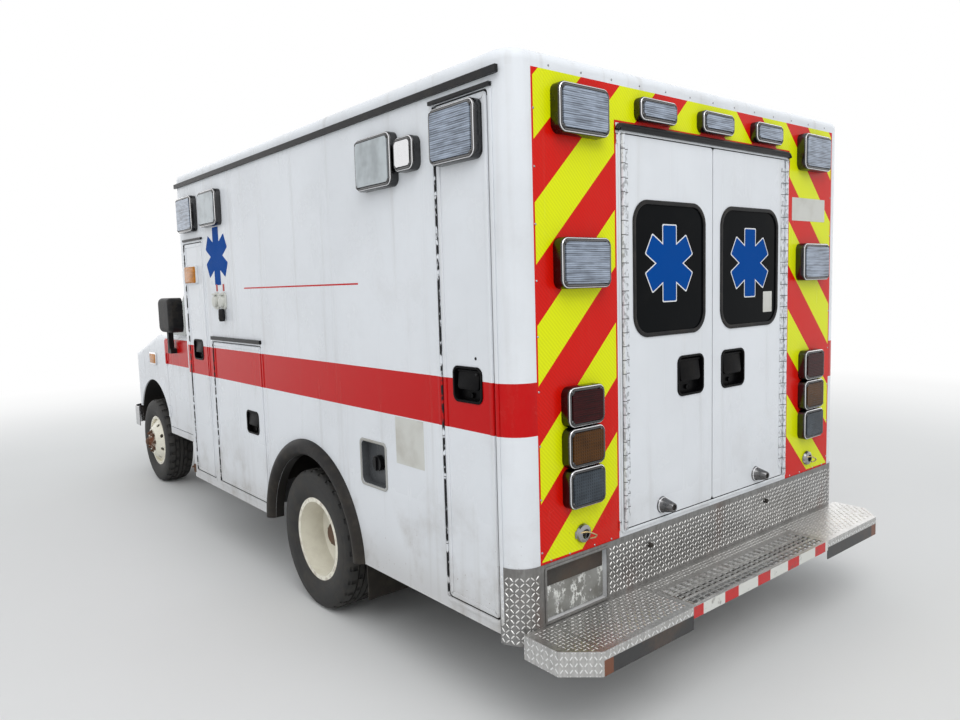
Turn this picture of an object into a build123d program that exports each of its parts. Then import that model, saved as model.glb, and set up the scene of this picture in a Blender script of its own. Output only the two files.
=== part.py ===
from build123d import *

import os

# Box-body ambulance on a van cab: the exact solids of every panel, door, wheel and fitting.
# It stands on z = 0 with its nose along -Y and its left side along +X.
# The origin is under the middle of its overall length. All sizes are in millimetres.

# Overall sizes
module_width = 2411
module_length = 3515
cab_length = 2385
step_depth = 280
module_bottom = 390
module_top = 2505
cab_half_width = 975
cab_top = 2062

# Module shell
wall_thickness = 50
roof_thickness = 65
corner_radius = 100
roof_edge_radius = 42
floor_top = 650
floor_thickness = 50
wheel_box_sheet = 6
frame_tunnel = 640
rear_overhang = 1628
front_overhang = 767

# Doors and hinges
door_gap = 6
hinge_gap = 14
door_corner = 18
hinge_barrel = 5.5
hinge_pin = 3.0
hinge_proud = 2.0
hinge_lug = 40
running_fit = 0.05
lug_gap = 1.0

# Rear doors
rear_door_half = 616
rear_door_bottom = 684
rear_door_top = 2260
rear_hinge_barrel = 8.0
rear_hinge_pin = 4.0
rear_hinge_proud = 10.0
rear_hinge_gap = 8
hinge_leaf = 3.0
rear_window_margins = (61, 65)
rear_window_height = 550
rear_window_corner = 90
rear_window_middle = 1737

# Wheels
tyre_radius = 372
tyre_width = 225
disc_offset = 135
dual_pitch = 2 * disc_offset
front_track = 1760
tyre_inset = 5.5
rear_outer_face = module_width / 2 - tyre_inset
king_pin_x = 800
king_pin_radius = 12
front_arch_radius = 435
front_arch_centre = 495
rear_arch_radius = 455
flare_width = 86
flare_proud = 35
mud_flap = (465.5, 5.5, 170, 700)
mud_flap_sheet = 6
liner_sheet = 3
liner_inner = 560

# Frame
rail_x = 400
rail_width = 60
rail_height = 160
rail_bottom = 430
rail_sheet = 8
cross_member_depth = 70
cross_member_foot = 74
body_mount_radius = 28

# Stations along Y, from the overall length
overall_length = cab_length + module_length + step_depth
nose = -overall_length / 2
module_front = nose + cab_length
module_rear = module_front + module_length
step_edge = module_rear + step_depth
rear_axle = module_rear - rear_overhang
front_axle = nose + front_overhang
module_middle = (module_front + module_rear) / 2
side = module_width / 2
wall_top = module_top - roof_thickness
inner_side = side - wall_thickness
floor_bottom = floor_top - floor_thickness
boot_depth = 30
cab_back = module_front - boot_depth
rail_front = nose + 130
rail_back = module_rear - wall_thickness - 30
rail_top = rail_bottom + rail_height

# Side openings: name, side of the vehicle, front edge and rear edge ahead of the module's rear face,
# bottom, top, and depth of the locker behind the door
side_doors = [
    ("left_front_locker_door", 1, 3353, 3021, 456, 2022, 480),
    ("left_middle_locker_door", 1, 2912, 2167, 456, 1374, 480),
    ("left_rear_locker_door", 1, 415, 110, 447, 2367, 480),
    ("right_front_locker_door", -1, 3353, 3021, 456, 2022, 480),
    ("side_entry_door", -1, 2912, 2167, 456, 2050, 400),
    ("right_rear_locker_door", -1, 415, 110, 447, 2367, 480),
]
post_depth = side_doors[2][3] - door_gap

# Dished handle pans: centre ahead of the module's rear face, and height
handle_at = {
    "left_front_locker_door": (3197, 1312),
    "left_middle_locker_door": (2338, 916),
    "left_rear_locker_door": (262, 1318),
    "right_front_locker_door": (3197, 1312),
    "side_entry_door": (2250, 1150),
    "right_rear_locker_door": (262, 1318),
}
handle_pan = (168, 130, 26)
rear_handle_at = (165, 1275)
rear_handle_pan = (184, 168, 30)
pan_depth = 28


def block(x0, x1, y0, y1, z0, z1):
    """A box between two corners."""
    centre = Pos((x0 + x1) / 2, (y0 + y1) / 2, (z0 + z1) / 2)
    return centre * Box(abs(x1 - x0), abs(y1 - y0), abs(z1 - z0))


def side_prism(outline, x0, x1):
    """A side-view outline of (y, z) points, extruded from x0 to x1."""
    face = make_face(Polyline([(x0, y, z) for y, z in outline], close=True))
    return extrude(face, x1 - x0, dir=(1, 0, 0))


def side_panel(y0, y1, z0, z1, radius, x0, x1):
    """A side-view rectangle with round corners, extruded from x0 to x1."""
    plane = Plane(origin=(x0, (y0 + y1) / 2, (z0 + z1) / 2), x_dir=(0, 1, 0), z_dir=(1, 0, 0))
    return extrude(plane * RectangleRounded(y1 - y0, z1 - z0, radius), x1 - x0)


def rear_panel(x0, x1, z0, z1, radius, y0, y1):
    """A rear-view rectangle with round corners, extruded from y0 to y1."""
    plane = Plane(origin=((x0 + x1) / 2, y0, (z0 + z1) / 2), x_dir=(-1, 0, 0), z_dir=(0, 1, 0))
    return extrude(plane * RectangleRounded(x1 - x0, z1 - z0, radius), y1 - y0)


def post(x, y, z0, z1, radius):
    """An upright cylinder."""
    return Pos(x, y, (z0 + z1) / 2) * Cylinder(radius, z1 - z0)


def cross_bar(x0, x1, y, z, radius):
    """A cylinder along X."""
    return Pos((x0 + x1) / 2, y, z) * Rot(0, 90, 0) * Cylinder(radius, abs(x1 - x0))


def module_slab(inset, z0, z1):
    """The module's round-cornered plan, moved in by inset, between two heights."""
    plan = RectangleRounded(module_width - 2 * inset, module_length - 2 * inset, corner_radius - inset)
    return Pos(0, module_middle, z0) * extrude(plan, z1 - z0)


def arch(y, z, radius, x0, x1):
    """A wheel arch cutter: a cylinder along X with straight legs down to the ground."""
    return cross_bar(x0, x1, y, z, radius) + block(x0, x1, y - radius, y + radius, 0, z)


def side_opening(door):
    """The hole in the module's wall for a side door, a little larger than the door."""
    name, hand, front, rear, bottom, top, depth = door
    x0, x1 = sorted((hand * (inner_side - 1), hand * (side + 1)))
    return side_panel(
        module_rear - front - hinge_gap, module_rear - rear + door_gap,
        bottom - door_gap, top + door_gap, door_corner, x0, x1,
    )


def side_hinge_at(door):
    """Where a side door's hinge pin stands: x and y."""
    return door[1] * (side + hinge_proud), module_rear - door[2] - hinge_gap / 2


def side_hinge_fixed(door):
    """The part of a side door's hinge that stays on the wall: the pin, two lugs and their leaves."""
    x, y = side_hinge_at(door)
    hand, bottom, top = door[1], door[4], door[5]
    x0, x1 = sorted((hand * (side - hinge_leaf), hand * side))
    pin = post(x, y, bottom, top, hinge_pin)
    for z0, z1 in ((bottom, bottom + hinge_lug), (top - hinge_lug, top)):
        pin += post(x, y, z0, z1, hinge_barrel)
        pin += block(x0, x1, y - hinge_gap / 2 - 1, y - hinge_pin - 0.3, z0, z1)
    return pin


def side_door(door):
    """A side door slab with its hinge barrel on the front edge."""
    name, hand, front, rear, bottom, top, depth = door
    x, y = side_hinge_at(door)
    x0, x1 = sorted((hand * inner_side, hand * side))
    slab = side_panel(module_rear - front, module_rear - rear, bottom, top, door_corner, x0, x1)
    ahead, height = handle_at[name]
    width, tall, radius = handle_pan
    pan0, pan1 = sorted((hand * (side - pan_depth), hand * (side + 1)))
    centre = module_rear - ahead
    slab -= side_panel(
        centre - width / 2, centre + width / 2, height - tall / 2, height + tall / 2, radius, pan0, pan1
    )
    z0, z1 = bottom + hinge_lug + lug_gap, top - hinge_lug - lug_gap
    barrel = post(x, y, z0, z1, hinge_barrel)
    leaf0, leaf1 = sorted((hand * (side - hinge_leaf), hand * side))
    barrel += block(leaf0, leaf1, y + hinge_pin + 0.3, y + hinge_gap / 2 + 1, z0, z1)
    barrel -= post(x, y, z0 - 1, z1 + 1, hinge_pin + running_fit)
    return slab + barrel


def module_wall_ring():
    """All four module walls as one ring, before they are parted."""
    inner = module_slab(wall_thickness, module_bottom - 1, wall_top + 1)
    return module_slab(0, module_bottom, wall_top) - inner


# Fuel filler on the left side: front and rear edge ahead of the rear face, bottom, top, corner radius
filler = (1075, 868, 794, 992, 24)
filler_depth = 40
filler_cap_radius = 36


def filler_dish():
    """The dish round the fuel filler."""
    front, rear, bottom, top, radius = filler
    y0, y1 = module_rear - front, module_rear - rear
    return side_panel(y0, y1, bottom, top, radius, side - filler_depth, side + 1)


def filler_cap():
    """The fuel cap at the bottom of its dish."""
    front, rear, bottom, top, radius = filler
    y = module_rear - (front + rear) / 2
    z = (bottom + top) / 2
    cap = cross_bar(side - filler_depth - 1, side - 14, y, z, filler_cap_radius)
    return cap + block(side - 16, side - 6, y - 6, y + 6, z - 30, z + 30)


def side_wall(ring, hand):
    """One long side wall, with its door holes, wheel arch and hinge pins."""
    x0, x1 = sorted((0, hand * (side + 1)))
    wall = ring & block(x0, x1, module_front + corner_radius, module_rear - post_depth, 0, module_top)
    wall -= arch(rear_axle, tyre_radius, rear_arch_radius, x0, x1)
    for door in side_doors:
        if door[1] == hand:
            wall -= side_opening(door)
            wall += side_hinge_fixed(door)
    return wall - filler_dish() + filler_cap() if hand == 1 else wall


# Rear frame and its door hole
rear_hole_half = rear_door_half + rear_hinge_gap
rear_hinge_x = rear_door_half + rear_hinge_gap / 2
rear_hinge_y = module_rear + rear_hinge_proud
plate_recess = (731, 1074, 428, 636, 22)


def rear_hinge_leaf(hand, inner, outer, z0, z1):
    """A hinge leaf on the rear face."""
    x0, x1 = sorted((hand * inner, hand * outer))
    return block(x0, x1, module_rear - 1, module_rear + hinge_leaf, z0, z1)


def rear_hinge_fixed(hand):
    """The frame's half of a rear door hinge: pin, end lugs and leaves."""
    x = hand * rear_hinge_x
    hinge = post(x, rear_hinge_y, rear_door_bottom, rear_door_top, rear_hinge_pin)
    for z0, z1 in (
        (rear_door_bottom, rear_door_bottom + hinge_lug),
        (rear_door_top - hinge_lug, rear_door_top),
    ):
        hinge += post(x, rear_hinge_y, z0, z1, rear_hinge_barrel)
        hinge += rear_hinge_leaf(hand, rear_hinge_x + 1, rear_hinge_x + 38, z0, z1)
    return hinge


def module_rear_frame(ring):
    """The rear wall with its round corner posts and the double door hole."""
    frame = ring & block(-side - 1, side + 1, module_rear - post_depth, module_rear + 1, 0, module_top)
    frame -= rear_panel(
        -rear_hole_half, rear_hole_half, rear_door_bottom - door_gap, rear_door_top + door_gap, 20,
        module_rear - wall_thickness - 1, module_rear + 1,
    )
    x0, x1, z0, z1, depth = plate_recess
    frame -= block(x0, x1, module_rear - depth, module_rear + 1, z0, z1)
    return frame + rear_hinge_fixed(1) + rear_hinge_fixed(-1)


def rear_door(hand):
    """One rear door leaf with its window hole and hinge barrel."""
    x0, x1 = sorted((hand * door_gap / 2, hand * rear_door_half))
    leaf = rear_panel(
        x0, x1, rear_door_bottom, rear_door_top, 14, module_rear - wall_thickness, module_rear
    )
    inner, outer = rear_window_margins
    width, height, radius = rear_door_half - inner - outer, rear_window_height, rear_window_corner
    cx, cz = hand * (inner + width / 2), rear_window_middle
    leaf -= rear_panel(
        cx - width / 2, cx + width / 2, cz - height / 2, cz + height / 2, radius,
        module_rear - wall_thickness - 1, module_rear + 1,
    )
    width, tall, radius = rear_handle_pan
    cx, cz = hand * rear_handle_at[0], rear_handle_at[1]
    leaf -= rear_panel(
        cx - width / 2, cx + width / 2, cz - tall / 2, cz + tall / 2, radius,
        module_rear - pan_depth, module_rear + 1,
    )
    z0 = rear_door_bottom + hinge_lug + lug_gap
    z1 = rear_door_top - hinge_lug - lug_gap
    barrel = post(hand * rear_hinge_x, rear_hinge_y, z0, z1, rear_hinge_barrel)
    barrel += rear_hinge_leaf(hand, rear_hinge_x - 1, rear_hinge_x - 38, z0, z1)
    barrel -= post(hand * rear_hinge_x, rear_hinge_y, z0 - 1, z1 + 1, rear_hinge_pin + running_fit)
    return leaf + barrel


glass_thickness = 6
glass_gap = 0.3


def rear_glass(hand):
    """A rear door's window, flush with the outer face."""
    inner, outer = rear_window_margins
    width, height, radius = rear_door_half - inner - outer, rear_window_height, rear_window_corner
    cx, cz = hand * (inner + width / 2), rear_window_middle
    half_w, half_h = width / 2 - glass_gap, height / 2 - glass_gap
    return rear_panel(
        cx - half_w, cx + half_w, cz - half_h, cz + half_h, radius - glass_gap,
        module_rear - glass_thickness - 2, module_rear - 2,
    )


# Side entry door window: centre ahead of the rear face, centre height, width, height, corner radius
entry_window = (2540, 1660, 420, 500, 80)


def entry_window_prism(shrink, x0, x1):
    """The side entry window's outline, shrunk and extruded."""
    ahead, height, width, tall, radius = entry_window
    y = module_rear - ahead
    return side_panel(
        y - width / 2 + shrink, y + width / 2 - shrink,
        height - tall / 2 + shrink, height + tall / 2 - shrink, radius - shrink, x0, x1,
    )


# Roof, floor, wheel boxes and lockers
wheel_box_top = 870
wheel_box_margin = 15
sheet = 3


def module_roof():
    """The roof slab with its rounded upper edge."""
    slab = module_slab(0, wall_top, module_top)
    return fillet(slab.edges().group_by(Axis.Z)[-1], roof_edge_radius)


# Walk-through to the cab: half width, top and corner radius
walk_through = (290, 1900, 40)


def module_front_wall(ring):
    """The front wall with its round posts and the walk-through to the cab."""
    wall = ring & block(-side - 1, side + 1, module_front - 1, module_front + corner_radius, 0, module_top)
    wall -= block(
        -frame_tunnel, frame_tunnel, module_front - 1, module_front + corner_radius + 1, 0, floor_bottom
    )
    half, top, radius = walk_through
    return wall - rear_panel(-half, half, floor_top, top, radius, module_front - 1, module_front + wall_thickness + 1)


def locker_outline(door, thickness):
    """The space behind a side door, grown by a sheet thickness: y0, y1, z0, z1."""
    front, rear, bottom, top = door[2:6]
    return (
        module_rear - front - hinge_gap - thickness, module_rear - rear + door_gap + thickness,
        bottom - door_gap - thickness, top + door_gap + thickness,
    )


def locker(door):
    """The sheet box behind a side door, open towards the door."""
    name, hand, front, rear, bottom, top, depth = door
    y0, y1, z0, z1 = locker_outline(door, sheet)
    open_top = name == "side_entry_door"
    if open_top:
        z1 = floor_top
    inner = inner_side - depth
    x0, x1 = sorted((hand * inner, hand * inner_side))
    box = block(x0, x1, y0, y1, z0, z1)
    x0, x1 = sorted((hand * (inner + sheet), hand * (inner_side + 1)))
    top_cut = z1 + 1 if open_top else z1 - sheet
    return box - block(x0, x1, y0 + sheet, y1 - sheet, z0 + sheet, top_cut)


def wheel_box(hand):
    """The box over a rear wheel pair, as a solid."""
    reach = rear_arch_radius + wheel_box_margin
    x0, x1 = sorted((hand * wheel_box_inner, hand * inner_side))
    return block(x0, x1, rear_axle - reach, rear_axle + reach, floor_bottom, wheel_box_top)


def wheel_box_room(hand):
    """The room inside a wheel box, open below and towards the wheel."""
    reach = rear_arch_radius + wheel_box_margin - wheel_box_sheet
    x0, x1 = sorted((hand * (wheel_box_inner + wheel_box_sheet), hand * side))
    return block(x0, x1, rear_axle - reach, rear_axle + reach, module_bottom, wheel_box_top - wheel_box_sheet)


# Patient compartment: how far the furniture stands from the middle, its ends ahead of the rear face and heights
furniture_inner = 653
furniture = (2140, 440)
board = 18
counter_top = 1080
cabinet_recess = 3
cabinet_gap = 0.5
wheel_box_inner = furniture_inner + board + cabinet_gap


def cabinet_seat(hand):
    """The shallow recess in the floor that a base cabinet stands in, a small gap wider than its foot."""
    front, rear = module_rear - furniture[0], module_rear - furniture[1]
    x0, x1 = sorted((hand * (furniture_inner - cabinet_gap), hand * side))
    return block(x0, x1, front - cabinet_gap, rear + cabinet_gap, floor_top - cabinet_recess, floor_top + 1)


def module_floor():
    """The floor slab with both wheel boxes, cut away where the lockers go down past it."""
    slab = module_slab(wall_thickness, floor_bottom, floor_top) - cabinet_seat(1) - cabinet_seat(-1)
    for door in side_doors:
        y0, y1, z0, z1 = locker_outline(door, sheet)
        x0, x1 = sorted((door[1] * (inner_side - door[6]), door[1] * side))
        slab -= block(x0, x1, y0, y1, 0, module_top)
    for hand in (1, -1):
        slab = slab + wheel_box(hand) - wheel_box_room(hand)
    return slab


# Wall cupboards and the bench's cushions
cupboard_inner = 820
cupboard = (2140, 440, 1500, 2300)
cupboard_bays = 4
bench_cushion = 70
bench_back = (1150, 1480)


def furniture_box(hand):
    """A hollow base cabinet on the floor along one wall: a front board, two ends and a top."""
    front, rear = module_rear - furniture[0], module_rear - furniture[1]
    foot = floor_top - cabinet_recess
    x0, x1 = sorted((hand * furniture_inner, hand * inner_side))
    box = block(x0, x1, front, rear, foot, counter_top)
    x0, x1 = sorted((hand * (furniture_inner + board), hand * (inner_side + 1)))
    box -= block(x0, x1, front + board, rear - board, foot - 1, counter_top - board)
    return box


def wall_cupboard():
    """Open cupboards high on the left wall, divided into bays with one shelf."""
    front, rear, bottom, top = module_rear - cupboard[0], module_rear - cupboard[1], cupboard[2], cupboard[3]
    box = block(cupboard_inner, inner_side, front, rear, bottom, top)
    bay = (rear - front - board) / cupboard_bays
    shelf = (bottom + top) / 2
    for index in range(cupboard_bays):
        y0 = front + board + bay * index
        for z0, z1 in ((bottom + board, shelf), (shelf + board, top - board)):
            box -= block(cupboard_inner - 1, inner_side - board, y0, y0 + bay - board, z0, z1)
    return box


def patient_furniture():
    """The squad bench's base on the right, and the counter and cupboards on the left."""
    return Compound(children=[furniture_box(1), furniture_box(-1), wall_cupboard()])


def bench_cushions():
    """The bench's seat and back pads."""
    front, rear = module_rear - furniture[0] + 10, module_rear - furniture[1] - 10
    seat_pad = block(-inner_side + 70, -furniture_inner, front, rear, counter_top, counter_top + bench_cushion)
    back_pad = block(-inner_side, -inner_side + 60, front, rear, *bench_back)
    return [seat_pad, back_pad]


# Kick panel, step and grating
plate_sheet = 3
kick_top = 654
kick_side_top = 640
kick_bottom = 360
step_top = 420
step_skirt = 92
step_half = 1190
step_corner = (1072, 174)
grate_half = 545
grate_inner = 97
grate_drop = 48


def kick_panel():
    """Tread plate wrapped round the foot of the rear face and its posts."""
    outer = module_slab(-plate_sheet, kick_bottom, kick_top) - module_slab(0, kick_bottom - 1, kick_top + 1)
    outer &= block(-2 * side, 2 * side, module_rear - post_depth, module_rear + 2 * plate_sheet, 0, kick_top)
    x0, x1, z0, z1, depth = plate_recess
    return outer - block(x0, x1, module_rear - depth, module_rear + 10, z0, z1)


def step_plan(inset, z0, z1):
    """The step's plan with its two cut corners, moved in by inset."""
    cx, cy = step_corner
    y0 = module_rear + plate_sheet
    points = [
        (-step_half + inset, y0), (-step_half + inset, module_rear + cy - inset / 2),
        (-cx + inset / 2, step_edge - inset), (cx - inset / 2, step_edge - inset),
        (step_half - inset, module_rear + cy - inset / 2), (step_half - inset, y0),
    ]
    face = make_face(Polyline([(x, y, z0) for x, y in points], close=True))
    return extrude(face, z1 - z0, dir=(0, 0, 1))


def rear_step():
    """The tread plate step: a tray turned over, with a hole for the grating."""
    tray = step_plan(0, step_top - step_skirt, step_top)
    tray -= step_plan(4, step_top - step_skirt - 1, step_top - 4)
    return tray - block(
        -grate_half - glass_gap, grate_half + glass_gap, module_rear + grate_inner - glass_gap, step_edge + 1,
        step_top - step_skirt - 1, step_top + 1,
    )


# Grip grating: bands along the step, rows in each band, slots in each row, slot size and raised lip
grate_bands = 3
grate_rows = 2
grate_slots = 24
grate_slot = (34, 17)
grate_sheet = 4
grate_lip = (4, 3)
grate_band_gap = 24


def grate_places():
    """The middle of every grip slot on the grating."""
    y0, y1 = module_rear + grate_inner, step_edge
    band = (y1 - y0 - (grate_bands + 1) * grate_band_gap / 2) / grate_bands
    pitch_x = (2 * grate_half - 2 * grate_band_gap) / grate_slots
    places = []
    for index in range(grate_bands):
        start = y0 + grate_band_gap / 2 + index * (band + grate_band_gap / 2)
        for row in range(grate_rows):
            y = start + band * (row + 0.5) / grate_rows
            for column in range(grate_slots):
                places.append((-grate_half + grate_band_gap + pitch_x * (column + 0.5), y))
    return places


def step_grate():
    """The grip grating: a folded pan with bands of raised slots and the edge that takes the tape."""
    y0, y1 = module_rear + grate_inner, step_edge
    pan = block(-grate_half, grate_half, y0, y1, step_top - grate_drop, step_top)
    pan -= block(
        -grate_half - 1, grate_half + 1, y0 + grate_sheet, y1 - grate_sheet,
        step_top - grate_drop - 1, step_top - grate_sheet,
    )
    width, depth = grate_slot
    rim, rise = grate_lip
    places = grate_places()
    lip = Box(width + 2 * rim, depth + 2 * rim, rise + 2)
    lips = [Pos(x, y, step_top + rise / 2 - 1) * lip for x, y in places]
    holes = [Pos(x, y, step_top) * Box(width, depth, 4 * grate_sheet) for x, y in places]
    return pan + Compound(children=lips) - Compound(children=holes)


step_beam_half = 1040
step_arm = 44
step_arm_drop = 98


def step_beam():
    """The dark steel beam that carries the step, and its two arms from the frame rails."""
    low, high = step_top - 88, step_top - 4.5
    y0 = module_rear + 40
    beam = block(-step_beam_half, step_beam_half, y0, y0 + 52, low, high)
    beam -= block(-step_beam_half - 1, step_beam_half + 1, y0 + 6, y0 + 53, low + 6, high - 6)
    under = kick_bottom - 4
    root = rail_back - 220
    outline = [
        (root, rail_bottom), (rail_back, rail_bottom), (rail_back, under), (y0, under),
        (y0, rail_bottom - step_arm_drop), (root, rail_bottom - step_arm_drop),
    ]
    arms = [
        side_prism(outline, hand * rail_x - step_arm / 2, hand * rail_x + step_arm / 2) for hand in (1, -1)
    ]
    return [beam] + arms


# Flares, filler and rails
drip_sheet = 14


def wheel_flare(hand):
    """A half-round rubber moulding over a rear wheel arch."""
    inner, outer = rear_arch_radius, rear_arch_radius + flare_width
    face, crest = hand * side, hand * (side + flare_proud)
    with BuildSketch(Plane(origin=(0, rear_axle, tyre_radius), x_dir=(1, 0, 0), z_dir=(0, -1, 0))) as section:
        with BuildLine():
            ThreePointArc((face, inner), (crest, (inner + outer) / 2), (face, outer))
            Line((face, outer), (face, inner))
        make_face()
    ring = revolve(section.sketch, Axis((0, rear_axle, tyre_radius), (1, 0, 0)), 360)
    x0, x1 = sorted((face, crest))
    return ring & block(x0, x1, module_front, module_rear, module_bottom, module_top)


def rear_mud_flap(hand):
    """The rubber flap that hangs behind a rear wheel pair."""
    inner, outer, bottom, top = mud_flap
    x0, x1 = sorted((hand * (inner_side - inner), hand * (inner_side - outer)))
    y1 = rear_axle + rear_arch_radius + wheel_box_margin - wheel_box_sheet
    return block(x0, x1, y1 - mud_flap_sheet, y1, bottom, top)


def front_liner(hand):
    """The moulded liner inside a front wheel arch, ending at the firewall."""
    x0, x1 = sorted((hand * liner_inner, hand * (cab_half_width - 10)))
    radius = front_arch_radius - glass_gap
    shell = cross_bar(x0, x1, front_axle, front_arch_centre, radius)
    shell -= cross_bar(x0 - 1, x1 + 1, front_axle, front_arch_centre, radius - liner_sheet)
    return shell & block(x0, x1, nose, cab_front_wall - glass_gap, front_arch_centre, module_top)


# Drip rails: hand, front and rear end ahead of the rear face, height
side_drips = [
    (module_length - 60, 45, wall_top - 28, 27),
    (3355, 3002, 2040, 14),
    (443, 82, 2376, 14),
]
middle_drip = (2926, 2152, 1390, 22)
entry_drip = (2926, 2152, 2066, 14)


def drip_rails():
    """Rain rails over the doors and along the roof edge."""
    rails = []
    for hand in (1, -1):
        rows = side_drips + [middle_drip if hand == 1 else entry_drip]
        for front, rear, height, tall in rows:
            x0, x1 = sorted((hand * side, hand * (side + drip_sheet)))
            rails.append(block(x0, x1, module_rear - front, module_rear - rear, height, height + tall))
    rails.append(block(-635, 635, module_rear, module_rear + drip_sheet, 2272, 2286))
    return Compound(children=rails)


# Lights on the long sides: front and rear edge ahead of the rear face, bottom, top, how far they stand out
side_lights = [
    (3358, 3068, 2098, 2330, 45),
    (2930, 2639, 2106, 2326, 45),
    (961, 676, 2106, 2326, 45),
    (655, 515, 2150, 2286, 45),
]
rear_locker_light = (410, 135, 2140, 2350, 45)

# Lights on the rear face: inner and outer edge, bottom, top, how far they stand out
rear_lights = [
    (732, 1002, 2222, 2400, 50),
    (732, 1002, 1668, 1856, 50),
]
tail_lamps = [
    (772, 974, 1152, 1306, 45),
    (772, 974, 996, 1150, 45),
    (772, 974, 840, 994, 45),
]
top_markers = [(300, 540, 2316, 2408), (-120, 120, 2316, 2408), (-540, -300, 2316, 2408)]


def side_lamp(row, hand):
    """A lamp on a long side, with a chamfered rim."""
    front, rear, bottom, top, proud = row
    x0, x1 = sorted((hand * side, hand * (side + proud)))
    lamp = side_panel(module_rear - front, module_rear - rear, bottom, top, 24, x0, x1)
    rim = lamp.faces().sort_by(Axis.X)[-1 if hand == 1 else 0]
    return chamfer(rim.edges(), 8)


def rear_lamp(x0, x1, z0, z1, proud):
    """A lamp on the rear face, with a chamfered rim."""
    lamp = rear_panel(x0, x1, z0, z1, 20, module_rear, module_rear + proud)
    return chamfer(lamp.faces().sort_by(Axis.Y)[-1].edges(), 8)


def paired_rear_lamps(rows):
    """Rear lamps on both sides of the doors."""
    lamps = []
    for x0, x1, z0, z1, proud in rows:
        lamps += [rear_lamp(x0, x1, z0, z1, proud), rear_lamp(-x1, -x0, z0, z1, proud)]
    return lamps


# Cab: stations behind the nose and heights
bumper_depth = 95
cab_bottom = 500
nose_bottom = 650
belt = 1340
cowl = nose + 900
screen_run = 611
screen_foot = 1300
door_front = front_axle + front_arch_radius + 13
door_rear = cab_back - 165
pillar_width = 60
cab_front_wall = door_front - door_gap - pillar_width
cab_skin = 45
cab_door_bottom = 560
cab_door_shoulder = 1590
cab_door_top = 1960
cab_door_lean = 311
screen_glass = 6


# Plan curves: corner radius and bow of the nose, the screen's foot and the roof's front
nose_curve = (190, 60)
screen_foot_curve = (190, 90)
roof_curve = (170, 90)
screen_foot_half = 952
roof_half = 818


def cab_plan(half, front, rear, corner, bow, z):
    """A plan section: straight sides and back, round front corners and a bowed front."""
    with BuildSketch(Plane.XY.offset(z)) as plan:
        with BuildLine():
            Line((half, rear), (half, front + bow + corner))
            Line((-half, rear), (-half, front + bow + corner))
            ThreePointArc((half - corner, front + bow), (0, front), (corner - half, front + bow))
            TangentArc((half, front + bow + corner), (half - corner, front + bow), tangent=(0, -1, 0))
            TangentArc((-half, front + bow + corner), (corner - half, front + bow), tangent=(0, -1, 0))
            Line((half, rear), (-half, rear))
        make_face()
    return plan.sketch


crown_radius = 55
crown_rise = 14
nose_tip = nose + bumper_depth - 20

# Top of the lower cab along its length: station and height
cab_tops = [(nose_tip, 1090), (nose_tip + 110, 1150), (cowl + 20, belt + 12), (cab_back + 41, belt + 12)]


def crown_section(y, top, inset):
    """A front-view section at station y: upright sides, round shoulders and a slightly crowned top."""
    half = cab_half_width - inset
    high = top - inset
    eave = high - crown_rise
    turn = crown_radius * (1 - 0.5 ** 0.5)
    with BuildSketch(Plane(origin=(0, y, 0), x_dir=(-1, 0, 0), z_dir=(0, 1, 0))) as section:
        with BuildLine():
            Line((-half, 0), (-half, eave - crown_radius))
            ThreePointArc((-half, eave - crown_radius), (turn - half, eave - turn), (crown_radius - half, eave))
            ThreePointArc((crown_radius - half, eave), (0, high), (half - crown_radius, eave))
            ThreePointArc((half - crown_radius, eave), (half - turn, eave - turn), (half, eave - crown_radius))
            Line((half, eave - crown_radius), (half, 0))
            Line((half, 0), (-half, 0))
        make_face()
    return section.sketch


def cab_lower(inset, rear):
    """The cab below the belt, with the hood's slope, moved in by inset."""
    foot = cab_bottom - (1 if inset else 0)
    plan = cab_plan(cab_half_width - inset, nose + bumper_depth + inset, rear, *nose_curve, foot)
    body = extrude(plan, cab_top - cab_bottom, dir=(0, 0, 1))
    body &= loft([crown_section(y, top, inset) for y, top in cab_tops], ruled=True)
    return body - block(-side, side, nose, nose_tip + 330, 0, nose_bottom)


def cab_upper(inset, rear):
    """The cab above the belt, leaning in to the roof, moved in by inset."""
    front = cowl - 32 + 1.3 * inset
    low = cab_plan(screen_foot_half - inset, front, rear, *screen_foot_curve, screen_foot - 60)
    high = cab_plan(roof_half - inset, front + screen_run + 40, rear, *roof_curve, cab_top - inset)
    return loft([low, high], ruled=True)


def cab_outer():
    """The cab's outer form."""
    lower = cab_lower(0, cab_back)
    upper = cab_upper(0, cab_back)
    rim = [edge for edge in upper.edges().group_by(Axis.Z)[-1] if abs(edge.center().Y - cab_back) > 5]
    return lower + fillet(rim, 70)


def cab_inner():
    """The space inside the cab's skin, open at the back."""
    return cab_lower(cab_skin, cab_back + 40) + cab_upper(cab_skin, cab_back + 40)


def cab_door_outline(grow):
    """The cab door's side-view outline, grown by a gap."""
    return [
        (door_front - grow, cab_door_bottom - grow), (door_front - grow, cab_door_shoulder + grow),
        (door_front + cab_door_lean - grow, cab_door_top + grow), (door_rear + grow, cab_door_top + grow),
        (door_rear + grow, cab_door_bottom - grow),
    ]


def cab_window_outline(grow):
    """The cab door window's outline, grown by a gap."""
    return [
        (door_front + 60 - grow, belt + 10 - grow), (door_front + 60 - grow, cab_door_shoulder - 20 + grow),
        (door_front + 320 - grow, cab_door_top - 60 + grow), (door_rear - 60 + grow, cab_door_top - 60 + grow),
        (door_rear - 60 + grow, belt + 10 - grow),
    ]


cab_hinge_x = cab_half_width + hinge_proud
cab_hinge_y = door_front - door_gap / 2
cab_hinges = ((640, 740), (1090, 1190))
cab_hinge_barrel = 9.0
cab_hinge_pin = 5.0


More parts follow.
